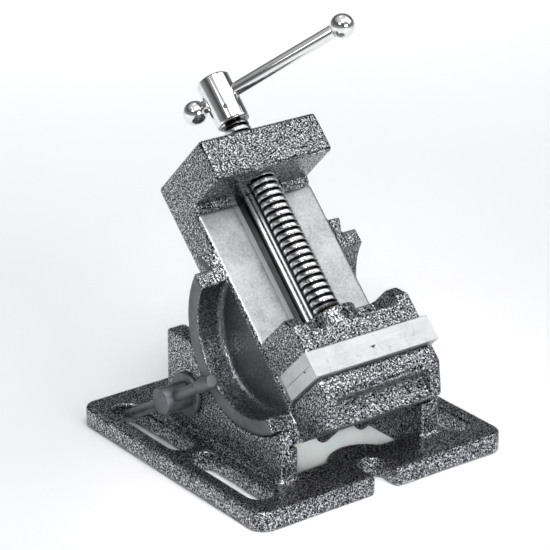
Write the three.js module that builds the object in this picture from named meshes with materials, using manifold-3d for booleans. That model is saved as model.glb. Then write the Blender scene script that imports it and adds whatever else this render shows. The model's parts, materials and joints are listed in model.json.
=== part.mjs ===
// Cradle-style tilting machine vise: a slotted base casting with two arc-seated side walls, a vise
// casting that rocks in those seats, a screw-driven sliding jaw and a T-handle tilt clamp.
// Millimetres, +Z up, +X to the right, the jaws at the front (-Y). The origin is the centre of the
// base's underside. The vise casting is modelled level, about the centre of its rockers, and is then
// tilted as one group, so +Y in its own frame runs up the bed towards the handle.
import * as THREE from 'three';
import { mergeVertices } from 'three/addons/utils/BufferGeometryUtils.js';
import Module from 'manifold-3d';

const GAP = 0.3;

// Base casting
const BASE_SIZE = 205;
const BASE_THICK = 14;
const BASE_CORNER = 11;
const SLOT_X = 82.75;
const SLOT_HALF_WIDTH = 9.25;
const SLOT_FRONT = [-84, -6];
const SLOT_REAR = [3.5, 85];
const NOTCH_HALF_WIDTH = 9.3;
const NOTCH_DEPTH = 24.5;
const WINDOW_Y = [-67.5, 52];
const BULGE_Y = -81;
const BULGE_RADIUS = 25.8;

// Side walls with the rocker seats
const ROCKER_Y = -36.3;
const ROCKER_Z = 99.4;
const SEAT_RADIUS = 61.6;
const WALL_INNER = 51.7;
const WALL_OUTER = 65.7;
const WALL_FRONT = -75.4;
const WALL_REAR = 50.8;
const WALL_TOP = 79.2;
const SHOULDER_X = 58.4;
const SHOULDER_Z = 36.5;
const WALL_FILLET = 4.2;

// Vise casting, in its own level frame about the rocker centre
const TILT_DEG = 44.2;
const BODY_HALF = 47.3;
const BED_Z = -11.3;
const UNDERSIDE_Z = -39.3;
const BLOCK_Y = [102.4, 131.3];
const BLOCK_TOP = 28.8;
const LIP_FRONT = 98;
const JAW_SEAT_Y = -45.2;
const FIXED_TOP = 28.5;
const RECESS_HALF = 38;
const RECESS_Y = -61;
const RECESS_FLOOR = 14;
const CHANNEL_HALF = 13.5;
const CHANNEL_DEPTH = 20;
const BEVEL_WIDTH = 5;
const BEVEL_DEPTH = 0.6;
const ROCKER_RADIUS = 61.3;
const ROCKER_BORE = 50.4;
const ROCKER_OUTER = 66.9;
const ROCKER_INNER = 49.5;
const ROCKER_TOP = -14.4;
const WEB_INNER = 40;

// Jaws
const PLATE_HALF = 50;
const PLATE_Z = [-3.5, 33.3];
const PLATE_THICK = 8.7;
const MOVING_DEPTH = 26.9;
const MOVING_TOP = 30.2;
const MOVING_CHAMFER = 8;
const POCKET_X = [12, 37];
const POCKET_DEPTH = 13;
const POCKET_FLOOR = 4;
const BOSS_RADIUS = 17.4;
const PLATE_SCREW_X = 25.5;
const FIXED_SCREW_Z = 20.2;
const MOVING_SCREW_Z = 17;
const CAP_RADIUS = 4.8;
const CAP_SHANK = 3;
const COUNTERBORE = 5.1;
const VEE = 2.2;
const VEE_LEVEL = 24;

// Lead screw, hub and sliding bar
const SCREW_Z = 6.2;
const SCREW_MAJOR = 9.15;
const SCREW_MINOR = 6.9;
const SCREW_PITCH = 5;
const SCREW_END = 2.2;
const PILOT_RADIUS = 6.6;
const PILOT_END = -13.4;
const GROOVE_RADIUS = 4.6;
const GROOVE_Y = -7;
const HUB_Y = [146, 180.5];
const HUB_RADIUS = 11.75;
const NECK_RADIUS = 6;
const NECK_END = 158;
const HUB_PIN_Y = 155.6;
const HUB_PIN_DEG = 125.2;
const BAR_Y = 166;
const BAR_RADIUS = 4.7;
const BAR_DEG = 48.5;
const BAR_REACH = [-20.5, 94.8];
const BALL_RADIUS = 8.4;
const BALL_FLAT = 7;
const SPIGOT_RADIUS = 3;

// Guide rod in the bed's channel
const ROD_RADIUS = 4.6;
const ROD_Z = -18.5;
const ROD_Y = [-55.7, 112.7];

// Tilt clamp
const CLAMP_Y = 26.7;
const CLAMP_Z = 40.3;
const CLAMP_HEAD_RADIUS = 9.3;
const CLAMP_HEAD_X = [-88.3, -69.2];
const CLAMP_SHANK_RADIUS = 6;
const CLAMP_TIP_X = -26.5;
const CLAMP_WASHER_X = [-68.9, -66];
const CLAMP_WASHER_RADIUS = 15;
const CLAMP_BAR_X = -79.5;
const CLAMP_BAR_DEG = -32.8;
const CLAMP_BAR_RADIUS = 3.75;
const KNOB_UPPER = [-56, -38.5];
const KNOB_LOWER = [50, 62];
const DOG_X = [-39.6, -29.6];
const DOG_Y = [-14, 44];
const DOG_Z = [33, 47.5];
const DOG_TOE_TOP = 54;

const wasm = await Module();
wasm.setup();

// A closed three.js geometry as a solid for cutting and joining.
function solid(geometry) {
  const plain = geometry.clone();
  plain.deleteAttribute('normal');
  plain.deleteAttribute('uv');
  const merged = mergeVertices(plain, 1e-4);
  return new wasm.Manifold(new wasm.Mesh({
    numProp: 3,
    vertProperties: new Float32Array(merged.attributes.position.array),
    triVerts: new Uint32Array(merged.index.array),
  }));
}

function geometryOf(shape) {
  const mesh = shape.getMesh();
  const geometry = new THREE.BufferGeometry();
  geometry.setAttribute('position', new THREE.BufferAttribute(new Float32Array(mesh.vertProperties), 3));
  geometry.setIndex(new THREE.BufferAttribute(new Uint32Array(mesh.triVerts), 1));
  geometry.computeVertexNormals();
  return geometry;
}

function join(...shapes) {
  return shapes.reduce((a, b) => a.add(b));
}

function cut(shape, ...tools) {
  return tools.reduce((a, b) => a.subtract(b), shape);
}

function box(x, y, z) {
  const geometry = new THREE.BoxGeometry(x[1] - x[0], y[1] - y[0], z[1] - z[0]);
  geometry.translate((x[0] + x[1]) / 2, (y[0] + y[1]) / 2, (z[0] + z[1]) / 2);
  return solid(geometry);
}

function outline(points) {
  return new THREE.Shape(points.map(([u, v]) => new THREE.Vector2(u, v)));
}

// A (y, z) outline swept along X between two stations.
function prismX(points, x0, x1) {
  const geometry = new THREE.ExtrudeGeometry(outline(points), { depth: x1 - x0, bevelEnabled: false });
  const basis = new THREE.Matrix4().makeBasis(
    new THREE.Vector3(0, 1, 0),
    new THREE.Vector3(0, 0, 1),
    new THREE.Vector3(1, 0, 0),
  );
  geometry.applyMatrix4(basis);
  geometry.translate(x0, 0, 0);
  return solid(geometry);
}

// An (x, z) outline swept along Y between two stations.
function prismY(points, y0, y1) {
  const geometry = new THREE.ExtrudeGeometry(outline(points), { depth: y1 - y0, bevelEnabled: false });
  geometry.rotateX(Math.PI / 2);
  geometry.translate(0, y1, 0);
  return solid(geometry);
}

// An (x, y) outline swept upwards.
function prismZ(points, z0, z1) {
  const geometry = new THREE.ExtrudeGeometry(outline(points), { depth: z1 - z0, bevelEnabled: false });
  geometry.translate(0, 0, z0);
  return solid(geometry);
}

// A round bar or hole from one point to another.
function round(from, to, radius, segments = 20) {
  const start = new THREE.Vector3(...from);
  const span = new THREE.Vector3(...to).sub(start);
  const geometry = new THREE.CylinderGeometry(radius, radius, span.length(), segments);
  geometry.translate(0, span.length() / 2, 0);
  const turn = new THREE.Quaternion().setFromUnitVectors(new THREE.Vector3(0, 1, 0), span.clone().normalize());
  geometry.applyQuaternion(turn);
  geometry.translate(start.x, start.y, start.z);
  return solid(geometry);
}

// A turned piece: (radius, station) pairs revolved about an axis through a point.
function turned(profile, origin, direction, segments = 24) {
  const points = profile.map(([radius, along]) => new THREE.Vector2(radius, along));
  const geometry = new THREE.LatheGeometry(points, segments);
  const axis = new THREE.Vector3(...direction).normalize();
  const turn = new THREE.Quaternion().setFromUnitVectors(new THREE.Vector3(0, 1, 0), axis);
  geometry.applyQuaternion(turn);
  geometry.translate(...origin);
  const shape = solid(geometry);
  if (shape.volume() > 0) {
    return shape;
  }
  geometry.setIndex(Array.from(geometry.index.array).reverse());
  return solid(geometry);
}

function obround(cx, y0, y1, radius, steps = 10) {
  const points = [];
  for (let i = 0; i <= steps; i += 1) {
    const angle = Math.PI * i / steps;
    points.push([cx + radius * Math.cos(angle), y1 - radius + radius * Math.sin(angle)]);
  }
  for (let i = 0; i <= steps; i += 1) {
    const angle = Math.PI + Math.PI * i / steps;
    points.push([cx + radius * Math.cos(angle), y0 + radius + radius * Math.sin(angle)]);
  }
  return points;
}

function roundedSquare(half, radius, steps = 6) {
  const points = [];
  for (let corner = 0; corner < 4; corner += 1) {
    const cx = (corner === 0 || corner === 3 ? 1 : -1) * (half - radius);
    const cy = (corner < 2 ? 1 : -1) * (half - radius);
    for (let i = 0; i <= steps; i += 1) {
      const angle = (corner + i / steps) * Math.PI / 2;
      points.push([cx + radius * Math.cos(angle), cy + radius * Math.sin(angle)]);
    }
  }
  return points;
}

function hexSocket(from, to, radius) {
  return round(from, to, radius, 6);
}

// One side wall, on the side given by the sign: the arc seat is cut through it, and its inner half is
// lowered to a flat shoulder in front, where the rocker's stop foot passes.
function sideWall(side) {
  const span = (a, b) => (side > 0 ? [a, b] : [-b, -a]);
  const slab = box(span(WALL_INNER, WALL_OUTER), [WALL_FRONT, WALL_REAR], [0, WALL_TOP]);
  const toe = WALL_OUTER + WALL_FILLET;
  const top = BASE_THICK + WALL_FILLET;
  const low = BASE_THICK - 1;
  const footing = [[WALL_OUTER - 1, low], [toe, low], [toe, BASE_THICK + 0.2], [WALL_OUTER, top], [WALL_OUTER - 1, top]];
  const sideFoot = prismY(footing.map(([u, v]) => [side * u, v]), WALL_FRONT, WALL_REAR);
  const ends = [[WALL_FRONT, -1], [WALL_REAR, 1]].map(([y, sign]) => prismX([
    [y - sign, low],
    [y + sign * WALL_FILLET, low],
    [y + sign * WALL_FILLET, BASE_THICK + 0.2],
    [y, top],
    [y - sign, top],
  ], ...span(WALL_INNER, WALL_OUTER)));
  const seat = round([-90, ROCKER_Y, ROCKER_Z], [90, ROCKER_Y, ROCKER_Z], SEAT_RADIUS, 96);
  const shoulder = box(span(WALL_INNER - 1, SHOULDER_X), [WALL_FRONT - 1, ROCKER_Y + 12], [SHOULDER_Z, WALL_TOP]);
  return cut(join(slab, sideFoot, ...ends), seat, shoulder);
}

function makeBase() {
  const half = BASE_SIZE / 2;
  const plate = prismZ(roundedSquare(half, BASE_CORNER), 0, BASE_THICK);
  const slots = [-1, 1].flatMap((side) => [SLOT_FRONT, SLOT_REAR].map(
    ([y0, y1]) => prismZ(obround(side * SLOT_X, y0, y1, SLOT_HALF_WIDTH), -1, BASE_THICK + 1),
  ));
  const notch = prismZ(obround(0, -half - 20, -half + NOTCH_DEPTH, NOTCH_HALF_WIDTH), -1, BASE_THICK + 1);
  const window = cut(
    box([-WALL_INNER, WALL_INNER], WINDOW_Y, [-1, BASE_THICK + 1]),
    round([0, BULGE_Y, -2], [0, BULGE_Y, BASE_THICK + 2], BULGE_RADIUS, 48),
  );
  const dogRest = box([-WALL_INNER - 1, -30], [32, 44], [0, DOG_Z[0] - 0.4]);
  const clampHole = round([-80, CLAMP_Y, CLAMP_Z], [-50, CLAMP_Y, CLAMP_Z], CLAMP_SHANK_RADIUS + 0.4, 24);
  const casting = join(cut(plate, ...slots, notch, window), sideWall(-1), sideWall(1), dogRest);
  return cut(casting, clampHole);
}

// Stop foot at one end of a rocker: a wedge-sided lug whose underside is flat when it meets the wall.
function stopLug(side, points, end) {
  const low = Math.min(...points.map(([, z]) => z));
  const high = Math.max(...points.map(([, z]) => z));
  const plan = [[46, 50], [46, 70], [58, 69.6], [54, 58.5], [54, 50]].map(([x, y]) => [side * x, end * y]);
  const order = side * end > 0 ? plan.reverse() : plan;
  const reach = [46, 59].map((x) => side * x).sort((a, b) => a - b);
  return prismZ(order, low - 1, high + 1).intersect(prismX(points, ...reach));
}

function makeBody() {
  const profile = [
    [BLOCK_Y[1], UNDERSIDE_Z],
    [BLOCK_Y[1], BLOCK_TOP],
    [BLOCK_Y[0], BLOCK_TOP],
    [BLOCK_Y[0], BED_Z + 1.3],
    [LIP_FRONT, BED_Z + 1.3],
    [LIP_FRONT, BED_Z - 0.8],
    [LIP_FRONT - 2, BED_Z - 0.8],
    [LIP_FRONT - 2, BED_Z],
    [JAW_SEAT_Y, BED_Z],
    [JAW_SEAT_Y, FIXED_TOP],
    [-58, FIXED_TOP],
    [-76, RECESS_FLOOR],
    [-70, -17],
    [-60.5, UNDERSIDE_Z],
  ];
  let casting = prismX(profile, -BODY_HALF, BODY_HALF);
  const below = box([-80, 80], [-80, 80], [-90, ROCKER_TOP]);
  for (const side of [-1, 1]) {
    const rim = turned([
      [ROCKER_BORE, ROCKER_OUTER],
      [ROCKER_RADIUS, ROCKER_OUTER],
      [ROCKER_RADIUS, WEB_INNER],
      [44, WEB_INNER],
      [44, BODY_HALF - 1],
      [ROCKER_BORE - 3.6, BODY_HALF],
      [ROCKER_BORE, ROCKER_INNER + 1.4],
      [ROCKER_BORE, ROCKER_OUTER],
    ], [0, 0, 0], [side, 0, 0], 96);
    const reach = [WEB_INNER, BODY_HALF].map((x) => side * x);
    const web = round([reach[0], 0, 0], [reach[1], 0, 0], ROCKER_BORE, 72);
    casting = join(casting, join(rim, web).intersect(below));
    const rearLug = [[50, -19.6], [70, -19.6], [70, -13], [50, -13]];
    const frontLug = [[-70, -16.7], [-70, -17.6], [-57, -30.5], [-50, -37], [-50, -16.7]];
    casting = join(casting, stopLug(side, rearLug, 1), stopLug(side, frontLug, -1));
    const padX = side * 16;
    casting = join(casting, round([padX, -64, -42], [padX, -64, -24], 5, 16));
  }
  const channelFloor = BED_Z - CHANNEL_DEPTH;
  const channel = box([-CHANNEL_HALF, CHANNEL_HALF], [JAW_SEAT_Y, BLOCK_Y[0]], [channelFloor, BED_Z + 5]);
  const flare = CHANNEL_HALF + BEVEL_WIDTH;
  const bevel = prismY([
    [-flare, BED_Z],
    [-CHANNEL_HALF, BED_Z - BEVEL_DEPTH],
    [CHANNEL_HALF, BED_Z - BEVEL_DEPTH],
    [flare, BED_Z],
    [flare, BED_Z + 3],
    [-flare, BED_Z + 3],
  ], JAW_SEAT_Y, BLOCK_Y[0]);
  const recess = box([-RECESS_HALF, RECESS_HALF], [-80, RECESS_Y], [RECESS_FLOOR, FIXED_TOP + 2]);
  const screwBore = round([0, BLOCK_Y[0] - 1, SCREW_Z], [0, BLOCK_Y[1] + 1, SCREW_Z], SCREW_MAJOR + 0.35, 32);
  const rodBores = [[ROD_Y[0] - 0.3, JAW_SEAT_Y + 1], [BLOCK_Y[0] - 1, ROD_Y[1] + 0.3]].map(
    ([y0, y1]) => round([0, y0, ROD_Z], [0, y1, ROD_Z], ROD_RADIUS + GAP, 20),
  );
  const screwHoles = [-1, 1].flatMap((side) => [
    round([side * PLATE_SCREW_X, -80, FIXED_SCREW_Z], [side * PLATE_SCREW_X, -55, FIXED_SCREW_Z], COUNTERBORE),
    round([side * PLATE_SCREW_X, -56, FIXED_SCREW_Z], [side * PLATE_SCREW_X, -40, FIXED_SCREW_Z], CAP_SHANK + GAP, 16),
  ]);
  return cut(casting, channel, bevel, recess, screwBore, ...rodBores, ...screwHoles);
}

function makeMovingJaw() {
  const block = prismX([
    [0, BED_Z + GAP],
    [0, MOVING_TOP - MOVING_CHAMFER],
    [-MOVING_CHAMFER, MOVING_TOP],
    [-MOVING_DEPTH, MOVING_TOP],
    [-MOVING_DEPTH, BED_Z + GAP],
  ], -BODY_HALF, BODY_HALF);
  const pockets = [-1, 1].map((side) => {
    const x = POCKET_X.map((v) => side * v).sort((a, b) => a - b);
    return box(x, [-POCKET_DEPTH, 1], [POCKET_FLOOR, MOVING_TOP + 1]);
  });
  const middle = box([-POCKET_X[0] - 1, POCKET_X[0] + 1], [-POCKET_DEPTH, 1], [SCREW_Z, MOVING_TOP + 1]);
  const boss = round([0, -POCKET_DEPTH - 1, SCREW_Z], [0, 0, SCREW_Z], BOSS_RADIUS, 40);
  const tongueHalf = CHANNEL_HALF - 0.4;
  const tongueZ = [BED_Z - CHANNEL_DEPTH + GAP, BED_Z + 2];
  const tongue = box([-tongueHalf, tongueHalf], [-MOVING_DEPTH, 0], tongueZ);
  const pilotBore = round([0, 1, SCREW_Z], [0, PILOT_END - 0.4, SCREW_Z], PILOT_RADIUS + GAP, 24);
  const pinHole = round([0, GROOVE_Y, SCREW_Z], [0, GROOVE_Y, MOVING_TOP], 2.9, 16);
  const rodBore = round([0, -MOVING_DEPTH - 1, ROD_Z], [0, 1, ROD_Z], ROD_RADIUS + GAP, 20);
  const screwHoles = [-1, 1].flatMap((side) => {
    const x = side * PLATE_SCREW_X;
    return [
      round([x, -POCKET_DEPTH - 5, MOVING_SCREW_Z], [x, 1, MOVING_SCREW_Z], COUNTERBORE),
      round([x, -MOVING_DEPTH - 1, MOVING_SCREW_Z], [x, -14, MOVING_SCREW_Z], CAP_SHANK + GAP, 16),
    ];
  });
  const shape = join(cut(block, ...pockets, middle), boss, tongue);
  return cut(shape, pilotBore, pinHole, rodBore, ...screwHoles);
}

// Ground jaw plate between two stations along the screw, with blind screw holes from its back face.
function makePlate(y0, y1, backY, holeZ) {
  const inward = backY === y0 ? 1 : -1;
  const holes = [-1, 1].map((side) => round(
    [side * PLATE_SCREW_X, backY - inward, holeZ],
    [side * PLATE_SCREW_X, backY + inward * 5.4, holeZ],
    CAP_SHANK + GAP,
    16,
  ));
  return cut(box([-PLATE_HALF, PLATE_HALF], [y0, y1], PLATE_Z), ...holes);
}

// Socket-head cap screw: the head's top is at the start station and the shank runs to the end one.
function makeCapScrew(x, z, start, seat, end) {
  const into = Math.sign(end - start);
  const head = round([x, start, z], [x, seat, z], CAP_RADIUS, 20);
  const shank = round([x, seat - into, z], [x, end, z], CAP_SHANK, 16);
  return cut(join(head, shank), hexSocket([x, start - into, z], [x, start + into * 2.4, z], 2.3));
}

// Right-hand thread with a flat crest, as one helical skin closed on the axis at both ends.
function makeThread(y0, y1) {
  const segments = 16;
  const turns = Math.ceil((y1 - y0) / SCREW_PITCH) + 2;
  const profile = [[0, SCREW_MAJOR], [0.52, SCREW_MAJOR], [0.64, SCREW_MINOR], [0.88, SCREW_MINOR]];
  const start = y0 - SCREW_PITCH;
  const positions = [];
  const steps = turns * segments;
  for (let j = 0; j <= steps; j += 1) {
    const angle = 2 * Math.PI * j / segments;
    for (const [part, radius] of profile) {
      const y = start + (j / segments + part) * SCREW_PITCH;
      positions.push(radius * Math.sin(angle), y, radius * Math.cos(angle));
    }
  }
  const count = profile.length;
  const at = (j, k) => (k < count ? j * count + k : (j + segments) * count);
  const index = [];
  for (let j = 0; j < steps; j += 1) {
    const last = j + segments > steps - 1 ? count - 1 : count;
    for (let k = 0; k < last; k += 1) {
      index.push(at(j, k), at(j + 1, k), at(j + 1, k + 1));
      index.push(at(j, k), at(j + 1, k + 1), at(j, k + 1));
    }
  }
  const lowTip = positions.length / 3;
  positions.push(0, start - 1, 0);
  const highTip = lowTip + 1;
  positions.push(0, start + (turns + 1) * SCREW_PITCH, 0);
  const lowLoop = [];
  for (let j = 0; j <= segments; j += 1) {
    lowLoop.push(at(j, 0));
  }
  for (let k = count - 1; k > 0; k -= 1) {
    lowLoop.push(at(0, k));
  }
  const highLoop = [];
  for (let j = steps - segments; j <= steps; j += 1) {
    highLoop.push(at(j, count - 1));
  }
  for (let k = count - 2; k >= 0; k -= 1) {
    highLoop.push(at(steps, k));
  }
  highLoop.push(at(steps - segments, count));
  for (const [loop, tip, flip] of [[lowLoop, lowTip, true], [highLoop, highTip, false]]) {
    for (let i = 0; i < loop.length; i += 1) {
      const next = loop[(i + 1) % loop.length];
      if (loop[i] !== next) {
        index.push(tip, flip ? next : loop[i], flip ? loop[i] : next);
      }
    }
  }
  const geometry = new THREE.BufferGeometry();
  geometry.setAttribute('position', new THREE.Float32BufferAttribute(positions, 3));
  geometry.setIndex(index);
  let shape = solid(geometry);
  if (shape.volume() < 0) {
    geometry.setIndex(index.slice().reverse());
    shape = solid(geometry);
  }
  return shape.intersect(box([-20, 20], [y0, y1], [-20, 20])).translate([0, 0, SCREW_Z]);
}

const hubPinWay = [Math.cos(HUB_PIN_DEG * Math.PI / 180), Math.sin(HUB_PIN_DEG * Math.PI / 180)];

// A point across the lead screw at a station, along a direction in the (x, z) plane.
function across(way, distance, y) {
  return [way[0] * distance, y, SCREW_Z + way[1] * distance];
}

function makeLeadScrew() {
  const thread = makeThread(SCREW_END, HUB_Y[0] - GAP);
  const neck = round([0, HUB_Y[0] - 2, SCREW_Z], [0, NECK_END, SCREW_Z], NECK_RADIUS, 20);
  const pilot = turned([
    [0, SCREW_END + 1],
    [PILOT_RADIUS, SCREW_END + 1],
    [PILOT_RADIUS, GROOVE_Y + 2.9],
    [GROOVE_RADIUS, GROOVE_Y + 2.9],
    [GROOVE_RADIUS, GROOVE_Y - 2.9],
    [PILOT_RADIUS, GROOVE_Y - 2.9],
    [PILOT_RADIUS, PILOT_END],
    [0, PILOT_END],
  ], [0, 0, SCREW_Z], [0, 1, 0], 24);
  const pinHole = round(across(hubPinWay, -9, HUB_PIN_Y), across(hubPinWay, 9, HUB_PIN_Y), 1.8, 12);
  return cut(join(thread, neck, pilot), pinHole);
}

function makeHub() {
  const r = HUB_RADIUS;
  const barrel = turned([
    [0, HUB_Y[0]],
    [r - 2.2, HUB_Y[0]],
    [r - 0.6, HUB_Y[0] + 1.2],
    [r, HUB_Y[0] + 2.4],
    [r, HUB_Y[1] - 1.6],
    [r - 1.6, HUB_Y[1]],
    [0, HUB_Y[1]],
  ], [0, 0, SCREW_Z], [0, 1, 0], 40);
  const way = [Math.cos(BAR_DEG * Math.PI / 180), Math.sin(BAR_DEG * Math.PI / 180)];
  const barHole = round(across(way, -20, BAR_Y), across(way, 20, BAR_Y), BAR_RADIUS + 0.35, 28);
  const bore = round([0, HUB_Y[0] - 1, SCREW_Z], [0, NECK_END + GAP, SCREW_Z], NECK_RADIUS + GAP, 20);
  const pinHole = round(across(hubPinWay, -20, HUB_PIN_Y), across(hubPinWay, 20, HUB_PIN_Y), 1.8, 12);
  return cut(barrel, barHole, bore, pinHole);
}

// The sliding bar's own frame runs along +X, with the screw's axis at 0.
function makeTommyBar() {
  const [low, high] = BAR_REACH;
  const body = round([low + BALL_FLAT + GAP, 0, 0], [high - BALL_FLAT - GAP, 0, 0], BAR_RADIUS, 28);
  const spigots = round([low + 2.3, 0, 0], [high - 2.3, 0, 0], SPIGOT_RADIUS, 16);
  return join(body, spigots);
}

function makeBall(center, inward) {
  const geometry = new THREE.SphereGeometry(BALL_RADIUS, 28, 18);
  geometry.rotateZ(-Math.PI / 2);
  geometry.translate(center, 0, 0);
  const face = center + inward * BALL_FLAT;
  const far = center + inward * 20;
  const flat = box([Math.min(face, far), Math.max(face, far)], [-10, 10], [-10, 10]);
  const bore = round([center + inward * 2, 0, 0], [far, 0, 0], SPIGOT_RADIUS + GAP, 16);
  return cut(solid(geometry), flat, bore);
}

function makeRetainingScrew() {
  const z0 = SCREW_Z + GROOVE_RADIUS + 0.4;
  const top = SCREW_Z + BOSS_RADIUS - 2.2;
  const body = round([0, GROOVE_Y, z0], [0, GROOVE_Y, top], 2.5, 16);
  return cut(body, hexSocket([0, GROOVE_Y, top - 1.8], [0, GROOVE_Y, top + 1], 1.3));
}

// The clamp's frame: +X along its screw, the bar along +Y, the bar's centre line at the origin.
function makeClampScrew() {
  const [head, seat] = CLAMP_HEAD_X.map((x) => x - CLAMP_BAR_X);
  const tip = CLAMP_TIP_X - CLAMP_BAR_X;
  const body = turned([
    [0, head],
    [CLAMP_HEAD_RADIUS - 0.8, head],
    [CLAMP_HEAD_RADIUS, head + 0.8],
    [CLAMP_HEAD_RADIUS, seat],
    [CLAMP_SHANK_RADIUS, seat],
    [CLAMP_SHANK_RADIUS, tip - 1],
    [CLAMP_SHANK_RADIUS - 1, tip],
    [0, tip],
  ], [0, 0, 0], [1, 0, 0], 32);
  return cut(body, round([0, -12, 0], [0, 12, 0], CLAMP_BAR_RADIUS + 0.35, 20));
}

function makeClampBar() {
  const body = round([0, KNOB_UPPER[1] + GAP, 0], [0, KNOB_LOWER[0] - GAP, 0], CLAMP_BAR_RADIUS, 20);
  const spigots = round([0, KNOB_UPPER[0] + 6, 0], [0, KNOB_LOWER[1] - 5, 0], 2.4, 12);
  return join(body, spigots);
}

function makeKnob([y0, y1], open, radius, depth) {
  const profile = [
    [0, y0],
    [radius - 1, y0],
    [radius, y0 + 1],
    [radius, y1 - 1],
    [radius - 1, y1],
    [0, y1],
  ];
  const bottom = open > 0 ? y1 - depth : y0 + depth;
  const mouth = open > 0 ? y1 + 1 : y0 - 1;
  return cut(turned(profile, [0, 0, 0], [0, 1, 0], 24), round([0, bottom, 0], [0, mouth, 0], 2.7, 12));
}

// Clamp dog: its toe bears on the inside of the left rocker, its heel on the inside of the wall.
function makeDog() {
  const bar = box(DOG_X, DOG_Y, DOG_Z);
  const toe = box(DOG_X, [DOG_Y[0], DOG_Y[0] + 14], [DOG_Z[0], DOG_TOE_TOP]);
  const heel = box([-WALL_INNER + 0.5, DOG_X[0] + 1], [DOG_Y[1] - 8, DOG_Y[1]], [DOG_Z[0], DOG_Z[1]]);
  const bore = round([-60, CLAMP_Y, CLAMP_Z], [-20, CLAMP_Y, CLAMP_Z], CLAMP_SHANK_RADIUS + GAP, 24);
  return cut(join(bar, toe, heel), bore);
}

const paint = { color: 0x5b5e62, roughness: 0.5, metalness: 0.45 };
const ground = { color: 0xc3c6c9, roughness: 0.32, metalness: 0.9 };
const chrome = { color: 0xdcdee0, roughness: 0.08, metalness: 1 };
const steel = { color: 0xa9abad, roughness: 0.28, metalness: 1 };
const darkSteel = { color: 0x4a4d52, roughness: 0.42, metalness: 0.9 };
const brass = { color: 0xb59a55, roughness: 0.35, metalness: 1 };

function place(group, name, shape, look) {
  const mesh = new THREE.Mesh(geometryOf(shape), new THREE.MeshStandardMaterial(look));
  mesh.name = name;
  group.add(mesh);
}

const vise = new THREE.Group();

place(vise, 'cradle_base', makeBase(), paint);

const tilting = new THREE.Group();
tilting.position.set(0, ROCKER_Y, ROCKER_Z);
tilting.rotation.x = TILT_DEG * Math.PI / 180;
vise.add(tilting);

place(tilting, 'vise_body', makeBody(), paint);
const fixedPlateY = [JAW_SEAT_Y + GAP, JAW_SEAT_Y + GAP + PLATE_THICK];
const standingVee = prismZ([
  [-VEE, fixedPlateY[1] + 0.01],
  [0, fixedPlateY[1] - VEE],
  [VEE, fixedPlateY[1] + 0.01],
], PLATE_Z[0] - 1, PLATE_Z[1] + 1);
const levelVee = prismX([
  [fixedPlateY[1] + 0.01, VEE_LEVEL + VEE * 0.9],
  [fixedPlateY[1] - VEE * 0.9, VEE_LEVEL],
  [fixedPlateY[1] + 0.01, VEE_LEVEL - VEE * 0.9],
], -PLATE_HALF - 1, PLATE_HALF + 1);
const fixedPlate = cut(makePlate(...fixedPlateY, fixedPlateY[0], FIXED_SCREW_Z), standingVee, levelVee);
place(tilting, 'fixed_jaw_plate', fixedPlate, ground);
place(tilting, 'guide_rod', round([0, ROD_Y[0], ROD_Z], [0, ROD_Y[1], ROD_Z], ROD_RADIUS, 24), steel);

place(tilting, 'movable_jaw', makeMovingJaw(), paint);
const movingPlateY = [fixedPlateY[1] + GAP, fixedPlateY[1] + GAP + PLATE_THICK];
const movingPlate = makePlate(...movingPlateY, movingPlateY[1], MOVING_SCREW_Z);
place(tilting, 'movable_jaw_plate', movingPlate, ground);
for (const [side, word] of [[-1, 'left'], [1, 'right']]) {
  const x = side * PLATE_SCREW_X;
  const fixedScrew = makeCapScrew(x, FIXED_SCREW_Z, RECESS_Y + 0.4, -55.3, fixedPlateY[0] + 5);
  place(tilting, `fixed_plate_screw_${word}`, fixedScrew, darkSteel);
  const movingScrew = makeCapScrew(x, MOVING_SCREW_Z, -POCKET_DEPTH - 0.4, -POCKET_DEPTH - 4.7, movingPlateY[1] - 5);
  place(tilting, `movable_plate_screw_${word}`, movingScrew, darkSteel);
}
place(tilting, 'jaw_retaining_screw', makeRetainingScrew(), darkSteel);

place(tilting, 'lead_screw', makeLeadScrew(), steel);
const washer = turned([
  [PILOT_RADIUS + GAP, 0.3],
  [SCREW_MAJOR - 0.3, 0.3],
  [SCREW_MAJOR - 0.3, SCREW_END - 0.3],
  [PILOT_RADIUS + GAP, SCREW_END - 0.3],
  [PILOT_RADIUS + GAP, 0.3],
], [0, 0, SCREW_Z], [0, 1, 0], 32);
place(tilting, 'thrust_washer', washer, brass);
place(tilting, 'screw_hub', makeHub(), chrome);
const pinReach = HUB_RADIUS - 0.5;
const hubPin = round(across(hubPinWay, -pinReach, HUB_PIN_Y), across(hubPinWay, pinReach, HUB_PIN_Y), 1.5, 12);
place(tilting, 'hub_pin', hubPin, darkSteel);

const tommy = new THREE.Group();
tommy.position.set(0, BAR_Y, SCREW_Z);
tommy.rotation.y = -BAR_DEG * Math.PI / 180;
tilting.add(tommy);
place(tommy, 'tommy_bar', makeTommyBar(), chrome);
place(tommy, 'tommy_ball_lower', makeBall(BAR_REACH[0], 1), chrome);
place(tommy, 'tommy_ball_upper', makeBall(BAR_REACH[1], -1), chrome);

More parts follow.
